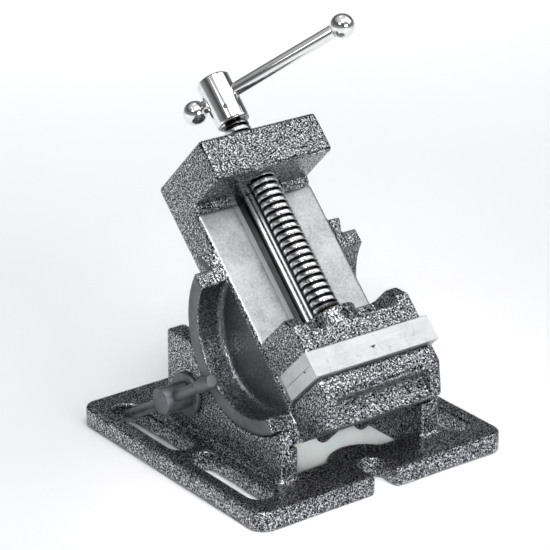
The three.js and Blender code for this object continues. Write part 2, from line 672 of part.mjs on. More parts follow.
const clamp = new THREE.Group();
clamp.position.set(CLAMP_BAR_X, CLAMP_Y, CLAMP_Z);
clamp.rotation.x = CLAMP_BAR_DEG * Math.PI / 180;
vise.add(clamp);
place(clamp, 'clamp_screw', makeClampScrew(), darkSteel);
place(clamp, 'clamp_bar', makeClampBar(), darkSteel);
place(clamp, 'clamp_bar_knob_upper', makeKnob(KNOB_UPPER, 1, 5, 12), darkSteel);
place(clamp, 'clamp_bar_knob_lower', makeKnob(KNOB_LOWER, -1, 4.6, 7.3), darkSteel);
const collar = turned([
  [CLAMP_SHANK_RADIUS + 0.4, CLAMP_WASHER_X[0]],
  [CLAMP_WASHER_RADIUS, CLAMP_WASHER_X[0]],
  [CLAMP_WASHER_RADIUS, CLAMP_WASHER_X[1]],
  [CLAMP_SHANK_RADIUS + 0.4, CLAMP_WASHER_X[1]],
  [CLAMP_SHANK_RADIUS + 0.4, CLAMP_WASHER_X[0]],
], [0, CLAMP_Y, CLAMP_Z], [1, 0, 0], 32);
place(vise, 'clamp_washer', collar, darkSteel);
place(vise, 'clamp_dog', makeDog(), darkSteel);

export default vise;
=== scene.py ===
import json
import math

import bmesh
import bpy
import numpy as np
from mathutils import Matrix, Vector


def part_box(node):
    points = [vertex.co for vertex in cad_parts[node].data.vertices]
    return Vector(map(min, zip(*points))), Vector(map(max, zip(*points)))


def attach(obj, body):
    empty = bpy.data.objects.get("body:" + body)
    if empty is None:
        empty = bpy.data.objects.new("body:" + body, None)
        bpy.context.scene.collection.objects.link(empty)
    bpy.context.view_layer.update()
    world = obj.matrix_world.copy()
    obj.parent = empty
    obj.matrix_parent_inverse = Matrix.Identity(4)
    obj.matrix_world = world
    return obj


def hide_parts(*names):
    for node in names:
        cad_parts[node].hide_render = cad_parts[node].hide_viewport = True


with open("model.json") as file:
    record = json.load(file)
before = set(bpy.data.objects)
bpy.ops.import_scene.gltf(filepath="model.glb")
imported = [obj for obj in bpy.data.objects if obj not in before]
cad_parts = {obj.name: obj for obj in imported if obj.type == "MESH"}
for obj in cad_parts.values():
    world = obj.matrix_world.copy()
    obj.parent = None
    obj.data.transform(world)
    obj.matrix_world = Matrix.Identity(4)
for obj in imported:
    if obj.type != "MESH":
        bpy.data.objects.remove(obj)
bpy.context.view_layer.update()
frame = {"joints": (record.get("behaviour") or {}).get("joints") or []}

MM = 0.001
JOINTS = {joint["name"]: joint for joint in frame["joints"]}
TILT_DEG = 44.2
PIVOT = Vector(JOINTS["cradle_tilt"]["pos_m"])
TILTED = Matrix.Translation(PIVOT) @ Matrix.Rotation(math.radians(TILT_DEG), 4, "X")
CLAMP_AXIS = Vector(JOINTS["clamp_spin"]["pos_m"])
LEVEL = Matrix.Identity(4)

# The camera stands at the left front, a little above the part.
CAMERA_AT = Vector((-1.0028, -1.3042, 0.8100))
CAMERA_RIGHT = Vector((0.79775, -0.60297, 0.00372))
CAMERA_DOWN = Vector((-0.23108, -0.31141, -0.92175))
CAMERA_LENS = 177.1


# --------------------------------------
# Materials
# --------------------------------------

class Shader:
    """A node tree with one Principled surface, built by short calls."""

    def __init__(self, name):
        self.material = bpy.data.materials.new(name)
        self.material.use_nodes = True
        self.tree = self.material.node_tree
        self.tree.nodes.clear()
        output = self.tree.nodes.new("ShaderNodeOutputMaterial")
        self.surface = self.tree.nodes.new("ShaderNodeBsdfPrincipled")
        self.tree.links.new(self.surface.outputs[0], output.inputs[0])
        self.place = self.tree.nodes.new("ShaderNodeTexCoord").outputs["Object"]

    def node(self, kind, values=(), out=0, **settings):
        made = self.tree.nodes.new(kind)
        for key, value in settings.items():
            setattr(made, key, value)
        for key, value in dict(values).items():
            self.put(made.inputs[key], value)
        return made.outputs[out]

    def put(self, socket, value):
        if isinstance(value, bpy.types.NodeSocket):
            self.tree.links.new(value, socket)
        else:
            socket.default_value = value

    def set(self, **values):
        for key, value in values.items():
            self.put(self.surface.inputs[key.replace("_", " ")], value)

    def noise(self, scale, detail=2.0, rough=0.5, warp=0.0, at=None):
        return self.node("ShaderNodeTexNoise", {"Vector": at or self.place, "Scale": scale, "Detail": detail,
                                                "Roughness": rough, "Distortion": warp})

    def stretched(self, x, y, z):
        return self.node("ShaderNodeMapping", {"Vector": self.place, "Scale": (x, y, z)})

    def ramp(self, value, stops):
        made = self.tree.nodes.new("ShaderNodeValToRGB")
        while len(made.color_ramp.elements) < len(stops):
            made.color_ramp.elements.new(0.5)
        for element, (at, color) in zip(made.color_ramp.elements, stops):
            element.position = at
            element.color = (*color, 1)
        self.tree.links.new(value, made.inputs[0])
        return made.outputs[0]

    def grey(self, value, stops):
        return self.ramp(value, [(at, (level,) * 3) for at, level in stops])

    def math(self, kind, a, b):
        return self.node("ShaderNodeMath", {0: a, 1: b}, operation=kind)

    def line(self, start, value, slope):
        return self.math("ADD", start, self.math("MULTIPLY", value, slope))

    def weigh(self, share, a, b):
        """A share of one value and the rest of another."""
        return self.math("ADD", self.math("MULTIPLY", a, share), self.math("MULTIPLY", b, 1 - share))

    def mix(self, factor, a, b, kind="MIX"):
        return self.node("ShaderNodeMix", {0: factor, 6: a, 7: b}, out=2, data_type="RGBA", blend_type=kind)

    def shaded(self, color, shade):
        return self.mix(1.0, color, shade, "MULTIPLY")

    def blend(self, factor, a, b):
        return self.node("ShaderNodeMix", {0: factor, 2: a, 3: b}, out=0, data_type="FLOAT")

    def bump(self, height, strength, distance):
        return self.node("ShaderNodeBump", {"Height": height, "Strength": strength, "Distance": distance})

    def attribute(self, name):
        return self.node("ShaderNodeAttribute", out=2, attribute_name=name)

    def fade(self, name, low, high, most=1.0):
        """A mesh attribute turned into a factor that rises between two of its values."""
        return self.node("ShaderNodeMapRange", {0: self.attribute(name), 1: low, 2: high, 3: 0.0, 4: most})


# The mesh marks bare metal by a distance in mm, above zero inside it, and the looks blend over this much.
EDGE = 0.12
# A ground area with this mark is painted near white, as a highlight.
PAINTED_HIGHLIGHT_MARK = 9.0


def casting_material():
    """Hammered enamel over iron; where the mesh says it is machined, bare metal shows."""
    s = Shader("hammered_casting")
    islands = s.noise(1080, 2.5, 0.5, 0.9)
    grains = s.noise(2600, 2.0, 0.6)
    clouds = s.noise(38, 3.0, 0.5)
    mottle = s.line(islands, s.math("SUBTRACT", grains, 0.5), 0.40)
    flakes = s.ramp(mottle, [
        (0.485, (0.004, 0.005, 0.008)),
        (0.53, (0.018, 0.022, 0.030)),
        (0.562, (0.46, 0.48, 0.52)),
        (0.62, (0.97, 0.98, 1.0)),
    ])
    # Painted shade: a darker, finer speckle for the enamel inside the rings.
    shaded_speckle = s.ramp(grains, [(0.40, (0.022, 0.025, 0.030)), (0.64, (0.145, 0.15, 0.163))])
    ring_shade = s.fade("ring_shade", 0.0, 1.0, 0.85)
    paint = s.shaded(s.mix(ring_shade, flakes, shaded_speckle), s.grey(clouds, [(0.3, 0.86), (0.7, 1.0)]))

    bare = s.fade("bare", -EDGE, EDGE)
    ground = s.fade("ground", -EDGE, EDGE)
    painted_highlight = s.fade("ground", PAINTED_HIGHLIGHT_MARK - 3.0, PAINTED_HIGHLIGHT_MARK - 1.0)
    dots = s.noise(620, 3.0, 0.7, 0.5)
    patches = s.noise(70, 4.0, 0.6, 0.4)
    # Dark bare metal, also used in the channel as painted shade.
    dark_metal_and_channel_shade = s.ramp(patches, [(0.3, (0.11, 0.115, 0.12)), (0.7, (0.20, 0.205, 0.21))])
    light_metal = s.ramp(s.weigh(0.55, dots, patches), [
        (0.38, (0.34, 0.35, 0.355)),
        (0.52, (0.50, 0.51, 0.515)),
        (0.64, (0.60, 0.61, 0.62)),
    ])
    # The bevel strips get a painted highlight, near white.
    light_metal = s.mix(painted_highlight, light_metal, (0.96, 0.965, 0.97, 1.0))
    s.set(Base_Color=s.mix(bare, paint, s.mix(ground, dark_metal_and_channel_shade, light_metal)))

    paint_rough = s.grey(mottle, [(0.42, 0.25), (0.6, 0.33)])
    metal_rough = s.blend(ground, 0.42, s.line(0.36, dots, 0.12))
    s.set(Roughness=s.blend(bare, paint_rough, metal_rough))
    s.set(Metallic=s.blend(bare, s.grey(mottle, [(0.47, 0.70), (0.56, 0.97)]), 0.95))
    s.set(Coat_Weight=s.blend(bare, 0.08, 0.0), Coat_Roughness=0.16)
    height = s.blend(bare, s.blend(ring_shade, mottle, grains), s.math("MULTIPLY", dots, 0.25))
    s.set(Normal=s.bump(height, 0.40, 0.00030))
    return s.material


def ground_material():
    """Surface-ground jaw steel: fine straight scratches and soft clouds."""
    s = Shader("ground_steel")
    lines = s.noise(230, 5.0, 0.7, 0.0, at=s.stretched(0.25, 6.0, 6.0))
    clouds = s.noise(65, 4.0, 0.6, 0.4)
    marks = s.noise(420, 2.0, 0.7, 1.2, at=s.stretched(1.0, 0.35, 0.35))
    tone = s.weigh(0.45, lines, clouds)
    steel = s.ramp(tone, [
        (0.34, (0.47, 0.475, 0.48)),
        (0.5, (0.60, 0.605, 0.61)),
        (0.68, (0.70, 0.705, 0.71)),
    ])
    s.set(Base_Color=s.shaded(steel, s.grey(marks, [(0.60, 1.0), (0.68, 0.80)])), Metallic=0.92)
    s.set(Roughness=s.line(0.30, tone, 0.22))
    s.set(Normal=s.bump(lines, 0.12, 0.00015))
    return s.material


def thread_material():
    """Turned steel; the mesh says how deep a point lies, and the roots are painted dark as shade."""
    s = Shader("turned_steel")
    fine = s.noise(420, 3.0, 0.6, 0.3)
    rings = s.noise(1500, 2.0, 0.6)
    tone = s.weigh(0.7, fine, rings)
    # Painted shade, deeper towards the thread's roots.
    shade = s.grey(s.attribute("depth"), [(0.0, 1.0), (0.18, 0.62), (0.5, 0.08), (1.0, 0.03)])
    steel = s.ramp(tone, [
        (0.36, (0.40, 0.405, 0.41)),
        (0.5, (0.66, 0.665, 0.67)),
        (0.62, (0.84, 0.845, 0.85)),
    ])
    s.set(Base_Color=s.shaded(steel, shade), Metallic=1.0)
    s.set(Roughness=s.line(0.16, tone, 0.18))
    s.set(Normal=s.bump(tone, 0.22, 0.0002))
    return s.material


def rod_material():
    """Drawn bright steel, smooth along its length."""
    s = Shader("drawn_steel")
    clouds = s.noise(60, 3.0, 0.5)
    s.set(Base_Color=s.ramp(clouds, [(0.3, (0.66, 0.665, 0.67)), (0.7, (0.78, 0.785, 0.79))]), Metallic=1.0)
    s.set(Roughness=s.grey(clouds, [(0.3, 0.17), (0.7, 0.24)]))
    return s.material


def chrome_material():
    """Polished chrome plate with a faint smear."""
    s = Shader("bright_chrome")
    smear = s.noise(90, 4.0, 0.6, 0.5)
    color = s.ramp(smear, [(0.3, (0.80, 0.80, 0.79)), (0.7, (0.88, 0.88, 0.87))])
    s.set(Base_Color=color, Metallic=1.0)
    s.set(Roughness=s.grey(smear, [(0.3, 0.035), (0.75, 0.10)]))
    s.set(Normal=s.bump(s.noise(240, 2.0), 0.02, 0.0001))
    return s.material


def oxide_material():
    """Black oxide on turned steel, with patches and fine turning rings."""
    s = Shader("dark_oxide")
    patches = s.noise(160, 4.0, 0.65, 0.3)
    rings = s.noise(500, 3.0, 0.6, 0.0, at=s.stretched(3.0, 0.4, 0.4))
    tone = s.weigh(0.6, patches, rings)
    s.set(Base_Color=s.ramp(tone, [(0.35, (0.10, 0.105, 0.115)), (0.6, (0.17, 0.178, 0.19))]), Metallic=0.85)
    s.set(Roughness=s.grey(tone, [(0.35, 0.34), (0.65, 0.50)]))
    s.set(Normal=s.bump(rings, 0.08, 0.00012))
    return s.material


def brass_material():
    s = Shader("turned_brass")
    clouds = s.noise(300, 3.0, 0.6)
    s.set(Base_Color=s.ramp(clouds, [(0.35, (0.50, 0.40, 0.17)), (0.7, (0.68, 0.57, 0.28))]))
    s.set(Metallic=1.0, Roughness=s.grey(clouds, [(0.3, 0.24), (0.7, 0.38)]))
    return s.material


def floor_material():
    s = Shader("studio_floor")
    tone = s.noise(3.0, 2.0)
    s.set(Base_Color=s.ramp(tone, [(0.3, (0.90, 0.905, 0.915)), (0.7, (0.915, 0.92, 0.93))]), Roughness=0.55)
    return s.material


CASTING = casting_material()
GROUND = ground_material()
TURNED = thread_material()
DRAWN = rod_material()
CHROME = chrome_material()
OXIDE = oxide_material()
BRASS = brass_material()
FLOOR = floor_material()


# --------------------------------------
# Solid shapes as distance fields, in millimetres, turned into meshes by a surface net
# --------------------------------------

class Grid:
    """Sample points on a box, as three broadcasting axes."""

    def __init__(self, low, high, step):
        self.step = step
        self.origin = np.array(low, float) - 2.37 * step
        count = np.ceil((np.array(high, float) - self.origin) / step).astype(int) + 4
        axes = [self.origin[i] + step * np.arange(count[i]) for i in range(3)]
        self.x = axes[0].reshape(-1, 1, 1).astype(np.float32)
        self.y = axes[1].reshape(1, -1, 1).astype(np.float32)
        self.z = axes[2].reshape(1, 1, -1).astype(np.float32)


def union(a, b, r=0.0):
    if r <= 0:
        return np.minimum(a, b)
    reach = np.hypot(np.maximum(r - a, 0), np.maximum(r - b, 0))
    return np.maximum(r, np.minimum(a, b)) - reach


def meet(a, b, r=0.0):
    if r <= 0:
        return np.maximum(a, b)
    reach = np.hypot(np.maximum(r + a, 0), np.maximum(r + b, 0))
    return np.minimum(-r, np.maximum(a, b)) + reach


def cut(a, b, r=0.0):
    return meet(a, -b, r)


def span(values, low, high):
    """Signed distance to the slab between two stations."""
    return np.abs(values - (low + high) / 2) - (high - low) / 2


def rectangle(u, v, u_range, v_range, r=0.0):
    du = span(u, *u_range) + r
    dv = span(v, *v_range) + r
    return np.hypot(np.maximum(du, 0), np.maximum(dv, 0)) + np.minimum(np.maximum(du, dv), 0) - r


def disc(u, v, cu, cv, r):
    return np.hypot(u - cu, v - cv) - r


def polygon(u, v, points):
    """Signed distance to a closed outline, negative inside."""
    best = np.full(np.broadcast_shapes(u.shape, v.shape), 1e9, np.float32)
    sign = np.ones_like(best)
    for (ax, ay), (bx, by) in zip(points, points[-1:] + points[:-1]):
        ex, ey = bx - ax, by - ay
        wx, wy = u - ax, v - ay
        t = np.clip((wx * ex + wy * ey) / (ex * ex + ey * ey), 0, 1)
        best = np.minimum(best, (wx - ex * t) ** 2 + (wy - ey * t) ** 2)
        above = v >= ay
        below = v < by
        left = ex * wy > ey * wx
        flip = (above & below & left) | (~above & ~below & ~left)
        sign = np.where(flip, -sign, sign)
    return sign * np.sqrt(best)


def arc(before, corner, after, r, steps, share):
    """Points of the arc that rounds a corner, held within a share of the sides that meet there."""
    middle = Vector(corner)
    back_side, next_side = Vector(before) - middle, Vector(after) - middle
    a, b = back_side.normalized(), next_side.normalized()
    half = a.angle(b) / 2
    back = min(r / math.tan(half), back_side.length * share, next_side.length * share)
    radius = back * math.tan(half)
    centre = middle + (a + b).normalized() * (radius / math.sin(half))
    start, end = middle + a * back - centre, middle + b * back - centre
    turn = start.angle_signed(end)
    points = []
    for k in range(steps + 1):
        arm = start.copy()
        arm.rotate(Matrix.Rotation(-turn * k / steps, 2))
        points.append(tuple(centre + arm))
    return points


def softened(points):
    """A closed outline of (u, v, radius) corners with each corner turned into an arc."""
    out = []
    for i, (px, py, r) in enumerate(points):
        if r > 0:
            out += arc(points[i - 1][:2], (px, py), points[(i + 1) % len(points)][:2], r, 4, 0.48)
        else:
            out.append((px, py))
    return out


def obround(u, v, cu, v_range, r):
    half = (v_range[1] - v_range[0]) / 2 - r
    across = np.maximum(np.abs(v - (v_range[0] + v_range[1]) / 2) - half, 0)
    return np.hypot(u - cu, across) - r


def net(field, grid):
    """Vertices and quads of the zero surface of a sampled field."""
    inside = field < 0
    cells = tuple(n - 1 for n in field.shape)
    total = np.zeros(cells, np.uint8)
    for dx in (0, 1):
        for dy in (0, 1):
            for dz in (0, 1):
                total += inside[dx:dx + cells[0], dy:dy + cells[1], dz:dz + cells[2]]
    active = (total > 0) & (total < 8)
    where = np.argwhere(active)
    number = np.full(cells, -1, np.int32)
    number[active] = np.arange(len(where))
    sums = np.zeros((len(where), 3))
    counts = np.zeros(len(where))
    for axis in range(3):
        others = [k for k in range(3) if k != axis]
        for shift in ((0, 0), (0, 1), (1, 0), (1, 1)):
            start = where.copy()
            start[:, others[0]] += shift[0]
            start[:, others[1]] += shift[1]
            end = start.copy()
            end[:, axis] += 1
            a = field[tuple(start.T)].astype(float)
            b = field[tuple(end.T)].astype(float)
            hit = (a < 0) != (b < 0)
            point = start[hit].astype(float)
            point[:, axis] += a[hit] / (a[hit] - b[hit])
            sums[hit] += point
            counts[hit] += 1
    verts = grid.origin + grid.step * sums / counts[:, None]
    quads = []
    for axis in range(3):
        others = [(axis + 1) % 3, (axis + 2) % 3]
        low = [slice(1, n - 1) for n in field.shape]
        low[axis] = slice(0, field.shape[axis] - 1)
        high = list(low)
        high[axis] = slice(1, field.shape[axis])
        a, b = inside[tuple(low)], inside[tuple(high)]
        for mask, order in ((a & ~b, (0, 1, 2, 3)), (~a & b, (3, 2, 1, 0))):
            at = np.argwhere(mask)
            for other in others:
                at[:, other] += 1
            ring = []
            for s0, s1 in ((-1, -1), (0, -1), (0, 0), (-1, 0)):
                cell = at.copy()
                cell[:, others[0]] += s0
                cell[:, others[1]] += s1
                ring.append(number[tuple(cell.T)])
            quads.append(np.stack([ring[k] for k in order], axis=1))
    return verts, np.concatenate(quads)


def to_world(points, place):
    matrix = np.array(place)
    return points * MM @ matrix[:3, :3].T + matrix[:3, 3]


def finish_piece(obj, body, nodes, slot, material, smooth=True):
    obj.data.materials.clear()
    obj.data.materials.append(material)
    if smooth:
        obj.data.shade_smooth()
    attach(obj, body)
    if nodes:
        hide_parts(*nodes)
    return obj


def mesh_piece(name, verts, faces, place=LEVEL):
    mesh = bpy.data.meshes.new(name)
    points = to_world(np.asarray(verts, float), place)
    mesh.from_pydata(points.tolist(), [], [list(map(int, f)) for f in faces])
    mesh.validate()
    obj = bpy.data.objects.new(name, mesh)
    bpy.context.scene.collection.objects.link(obj)
    return obj


def add_attribute(obj, name, values):
    layer = obj.data.attributes.new(name, "FLOAT", "POINT")
    layer.data.foreach_set("value", np.asarray(values, np.float32))


def field_piece(name, field, grid, place, marks=()):
    """A mesh of the field. Marks are (attribute, function of the points in mm) pairs."""
    verts, quads = net(field, grid)
    mesh = bpy.data.meshes.new(name)
    points = to_world(verts, place).astype(np.float32)
    mesh.vertices.add(len(points))
    mesh.vertices.foreach_set("co", points.ravel())
    mesh.loops.add(quads.size)
    mesh.loops.foreach_set("vertex_index", quads.astype(np.int32).ravel())
    mesh.polygons.add(len(quads))
    mesh.polygons.foreach_set("loop_start", np.arange(0, quads.size, 4, dtype=np.int32))
    mesh.update(calc_edges=True)
    mesh.validate()
    obj = bpy.data.objects.new(name, mesh)
    bpy.context.scene.collection.objects.link(obj)
    for key, function in marks:
        add_attribute(obj, key, function(verts[:, 0], verts[:, 1], verts[:, 2]))
    return obj


# --------------------------------------
# Turned pieces
# --------------------------------------

def lathe(name, profile, place, segments=96):
    """A closed (radius, station) outline revolved about the local Z axis."""
    verts, faces, rows = [], [], []
    for radius, along in profile:
        if radius < 1e-9:
            rows.append([len(verts)])
            verts.append((0, 0, along))
            continue
        row = []
        for k in range(segments):
            angle = 2 * math.pi * k / segments
            row.append(len(verts))
            verts.append((radius * math.cos(angle), radius * math.sin(angle), along))
        rows.append(row)
    closed = len(rows[0]) > 1 and len(rows[-1]) > 1
    pairs = list(zip(rows, rows[1:] + rows[:1])) if closed else list(zip(rows, rows[1:]))
    for a, b in pairs:
        for k in range(segments):
            n = (k + 1) % segments
            if len(a) == 1:
                faces.append((a[0], b[n], b[k]))
            elif len(b) == 1:
                faces.append((a[k], a[n], b[0]))
            else:
                faces.append((a[k], a[n], b[n], b[k]))
    obj = mesh_piece(name, verts, faces, place)
    fix_normals(obj)
    return obj


def fix_normals(obj):
    bm = bmesh.new()
    bm.from_mesh(obj.data)
    bmesh.ops.recalc_face_normals(bm, faces=bm.faces)
    bm.to_mesh(obj.data)
    bm.free()


def rounded_profile(points, steps=5):
    """(radius, station, corner radius) corners; the first and last stay where they are."""
    out = [points[0][:2]]
    for i in range(1, len(points) - 1):
        px, py, r = points[i]
        if r > 0:
            out += arc(points[i - 1][:2], (px, py), points[i + 1][:2], r, steps, 0.49)
        else:
            out.append((px, py))
    out.append(points[-1][:2])
    return out


def bore(radius, low, high):
    """The outline of a straight round hole between two stations."""
    return [(0, low), (radius, low), (radius, high), (0, high)]


def aimed(origin, direction, parent=LEVEL):
    """A frame whose Z axis points along a direction, both given in mm in the parent frame."""
    axis = Vector(direction).normalized()
    turn = Vector((0, 0, 1)).rotation_difference(axis).to_matrix().to_4x4()
    return parent @ Matrix.Translation(Vector(origin) * MM) @ turn


def bored(obj, cutters):
    """Subtracts meshes from a piece, for good."""
    for cutter in cutters:
        modifier = obj.modifiers.new("bore", "BOOLEAN")
        modifier.operation = "DIFFERENCE"
        modifier.solver = "EXACT"
        modifier.object = cutter
    graph = bpy.context.evaluated_depsgraph_get()
    shaped = bpy.data.meshes.new_from_object(obj.evaluated_get(graph))
    obj.modifiers.clear()
    obj.data = shaped
    for cutter in cutters:
        bpy.data.objects.remove(cutter)
    return obj


def crisp(obj, degrees=32):
    """Smooth shading, broken at edges that turn by more than an angle."""
    obj.data.shade_smooth()
    obj.data.set_sharp_from_angle(angle=math.radians(degrees))
    return obj


def turned_piece(name, corners, place, segments, home, cutters=(), steps=5, sharp=32, depth=None):
    """A turned piece, bored by cutters given as lathe's arguments. Home is its body, nodes, slot and look;
    the slot is not used.
    """
    piece = lathe(name, rounded_profile(corners, steps), place, segments)
    if cutters:
        bored(piece, [lathe(*cutter) for cutter in cutters])
    if depth is not None:
        add_attribute(piece, "depth", [depth] * len(piece.data.vertices))
    crisp(piece, sharp)
    return finish_piece(piece, *home, smooth=False)


# --------------------------------------
# Base casting
# --------------------------------------

ROCKER_Y, ROCKER_Z = PIVOT.y / MM, PIVOT.z / MM
CLAMP_Y, CLAMP_Z = CLAMP_AXIS.y / MM, CLAMP_AXIS.z / MM
BASE_THICK = 14
BASE_CORNER = 11
SEAT_RADIUS = 61.6
WALL_X = (51.7, 65.7)
WALL_Y = (-75.4, 50.8)
WALL_TOP = 79.2
# Within this distance of the middle, in front of this station and above this height, the walls are cut away.
SHOULDER_X, SHOULDER_Y, SHOULDER_Z = 58.4, -24.3, 36.5
SLOT_X, SLOT_RADIUS = 82.75, 9.25
SLOT_ENDS = ((-84, -6), (3.5, 85))
NOTCH_RADIUS, NOTCH_END = 9.3, -78
WINDOW_Y = (-67.5, 52)
TONGUE_Y, TONGUE_RADIUS = -81, 25.8
DOG_REST = ((-53, -30), (32, 44), (0.2, 32.6))
CLAMP_HOLE = 6.4


def build_base():
    low, high = (tuple(c / MM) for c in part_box("cradle_base"))
    g = Grid(low, high, 1.15)
    x, y, z = g.x, g.y, g.z
    wide = np.abs(x)
    plan = rectangle(x, y, (low[0], high[0]), (low[1], high[1]), BASE_CORNER)
    plate = meet(plan, span(z, 0, BASE_THICK), 1.9)
    radius = np.hypot(y - ROCKER_Y, z - ROCKER_Z)
    outline = cut(rectangle(y, z, WALL_Y, (-2, WALL_TOP), 2.2), radius - SEAT_RADIUS, 1.0)
    wall = meet(outline, span(wide, *WALL_X), 1.6)
    shoulder = meet(meet(wide - SHOULDER_X, y - SHOULDER_Y), SHOULDER_Z - z)
    wall = cut(wall, shoulder, 1.0)
    casting = union(plate, wall, 4.2)
    for ends in SLOT_ENDS:
        casting = cut(casting, meet(obround(wide, y, SLOT_X, ends, SLOT_RADIUS), z - 30), 1.5)
    casting = cut(casting, meet(obround(x, y, 0, (-160, NOTCH_END), NOTCH_RADIUS), z - 20), 1.7)
    tongue = disc(x, y, 0, TONGUE_Y, TONGUE_RADIUS)
    window = cut(rectangle(x, y, (-WALL_X[0], WALL_X[0]), WINDOW_Y), tongue, 2.0)
    casting = cut(casting, meet(window, z - 22), 1.5)
    rest = meet(rectangle(x, y, DOG_REST[0], DOG_REST[1], 1.5), span(z, *DOG_REST[2]), 1.2)
    casting = union(casting, rest, 1.5)
    casting = cut(casting, meet(disc(y, z, CLAMP_Y, CLAMP_Z, CLAMP_HOLE), x + 45), 0.8)
    casting = meet(casting, meet(-z, wide - high[0]))

    def bare(px, py, pz):
        seat = 0.45 - np.abs(np.hypot(py - ROCKER_Y, pz - ROCKER_Z) - SEAT_RADIUS)
        return np.maximum(np.minimum(seat, np.abs(px) - WALL_X[0] + 0.7), 0.3 - pz)

    def underside(px, py, pz):
        return 0.5 - pz

    base = field_piece("base_casting", casting, g, LEVEL, [("bare", bare), ("ground", underside)])
    return finish_piece(base, "cradle", ["cradle_base"], "hammertone", CASTING)


# --------------------------------------
# Vise casting, level about the centre of its rockers
# --------------------------------------

BED_Z = -11.3
UNDERSIDE_Z = -39.3
BODY_HALF = 47.3
SEAT_Y = -45.2
BODY_END = 131.3
BLOCK_FRONT = 102.4
BLOCK_TOP = 28.8
# The ground bed stops at a shallow groove in front of the rear block.
GROOVE_Y = (96.0, 98.0)
SCREW_Z = 6.2
ROD_Z = -18.5
ROD_HOLE = 4.9
CHANNEL_HALF = 13.5
CHANNEL_FLOOR = -31.3
BEVEL_EDGE = 18.5
BEVEL_DIP = 0.6
RING_TOP = -14.4
RING_RADIUS, RING_INNER = 61.3, 50.4
RING_HALF = 66.9
# Cap screws that hold the jaw plates: their distance from the middle, heights, and hole radii.
SCREW_X = 25.5
FIXED_SCREW_Z, MOVING_SCREW_Z = 20.2, 17.0
HEAD_HOLE, SHANK_HOLE = 5.2, 3.3
# Sloping face of the stop lugs: its direction across and along, and where it crosses.
LUG_SLOPE = (0.941, 0.339)
LUG_X, LUG_Y = 58, 69.5


def body_solid(y, z, wide):
    """The casting before its channel, recess and holes are cut."""
    profile = polygon(y, z, softened([
        (BODY_END, UNDERSIDE_Z, 3.0),
        (BODY_END, BLOCK_TOP, 2.6),
        (BLOCK_FRONT, BLOCK_TOP, 2.2),
        (BLOCK_FRONT, BED_Z + 1.3, 1.6),
        (GROOVE_Y[1], BED_Z + 1.3, 0.7),
        (GROOVE_Y[1], BED_Z - 0.9, 0),
        (GROOVE_Y[0], BED_Z - 0.9, 0),
        (GROOVE_Y[0], BED_Z, 0.2),
        (SEAT_Y, BED_Z, 0),
        (SEAT_Y, 28.5, 1.4),
        (-58.0, 28.5, 2.4),
        (-76.0, 14.0, 2.6),
        (-70.0, -17.0, 4.0),
        (-60.5, UNDERSIDE_Z, 4.0),
    ]))
    core = meet(profile, wide - BODY_HALF, 2.2)
    radius = np.hypot(y, z)
    below = z - RING_TOP
    web = meet(meet(radius - RING_RADIUS, span(wide, 40, BODY_HALF), 1.0), below, 1.0)
    core = union(core, web)
    ring = meet(span(radius, RING_INNER, RING_RADIUS), span(wide, 46, RING_HALF), 1.1)
    ring = meet(ring, below, 1.2)
    blended = meet(meet(union(core, ring, 4.0), radius - RING_RADIUS, 0.8), below, 1.0)
    casting = union(core, blended)
    rear_plan = polygon(wide, y, [(44, 48), (44, 69.9), (LUG_X, LUG_Y), (54, 58.5), (54, 48)])
    casting = union(casting, meet(rear_plan, span(z, -19.6, -13.0), 1.0), 1.2)
    front_plan = polygon(wide, y, [(44, -48), (54, -48), (54, -58.5), (LUG_X, -LUG_Y), (44, -69.9)])
    front_side = polygon(y, z, [
        (-70, -16.7), (-70, -17.6), (-57, -30.5), (-50, -37), (-46, -37), (-46, -16.7),
    ])
    casting = union(casting, meet(front_plan, front_side, 1.0), 1.2)
    pad = meet(disc(wide, y, 16, -64, 5), span(z, -41, -24), 1.0)
    return union(casting, pad, 2.0)


def body_cuts(casting, x, y, z, wide):
    """The casting with its channel and bevels, front recess, bores and screw holes."""
    between = span(y, SEAT_Y, BLOCK_FRONT)
    casting = cut(casting, meet(meet(wide - CHANNEL_HALF, CHANNEL_FLOOR - z), between), 0.5)
    dip = BEVEL_DIP * np.clip((BEVEL_EDGE - wide) / (BEVEL_EDGE - CHANNEL_HALF), 0, 1)
    bevel = meet(meet(BED_Z - dip - z, wide - BEVEL_EDGE), between)
    casting = cut(casting, meet(bevel, z - BED_Z - 4))
    recess = meet(meet(wide - 38, y + 60.4, 1.2), 13.6 - z, 1.2)
    casting = cut(casting, recess, 0.7)
    casting = cut(casting, meet(disc(x, z, 0, SCREW_Z, 9.5), 100 - y), 1.4)
    casting = cut(casting, meet(disc(x, z, 0, ROD_Z, ROD_HOLE), span(y, -56, 113)), 0.3)
    head = meet(disc(wide, z, SCREW_X, FIXED_SCREW_Z, HEAD_HOLE), span(y, -80, -55))
    casting = cut(casting, head, 0.5)
    shank = meet(disc(wide, z, SCREW_X, FIXED_SCREW_Z, SHANK_HOLE), span(y, -56, -40))
    return meet(cut(casting, shank), wide - RING_HALF)


def bed_mark(px, py, pz):
    """Above zero on the ground lands of the bed and on the bevels beside the channel."""
    land = np.minimum(0.30 - np.abs(pz - BED_Z), GROOVE_Y[0] + 0.3 - py)
    strip = np.minimum(np.minimum(BEVEL_EDGE + 0.1 - np.abs(px), pz - BED_Z + 1.3), BED_Z + 0.3 - pz)
    strip = np.minimum(strip, BLOCK_FRONT - 0.6 - py)
    return np.minimum(np.maximum(land, strip), py - SEAT_Y + 0.6)


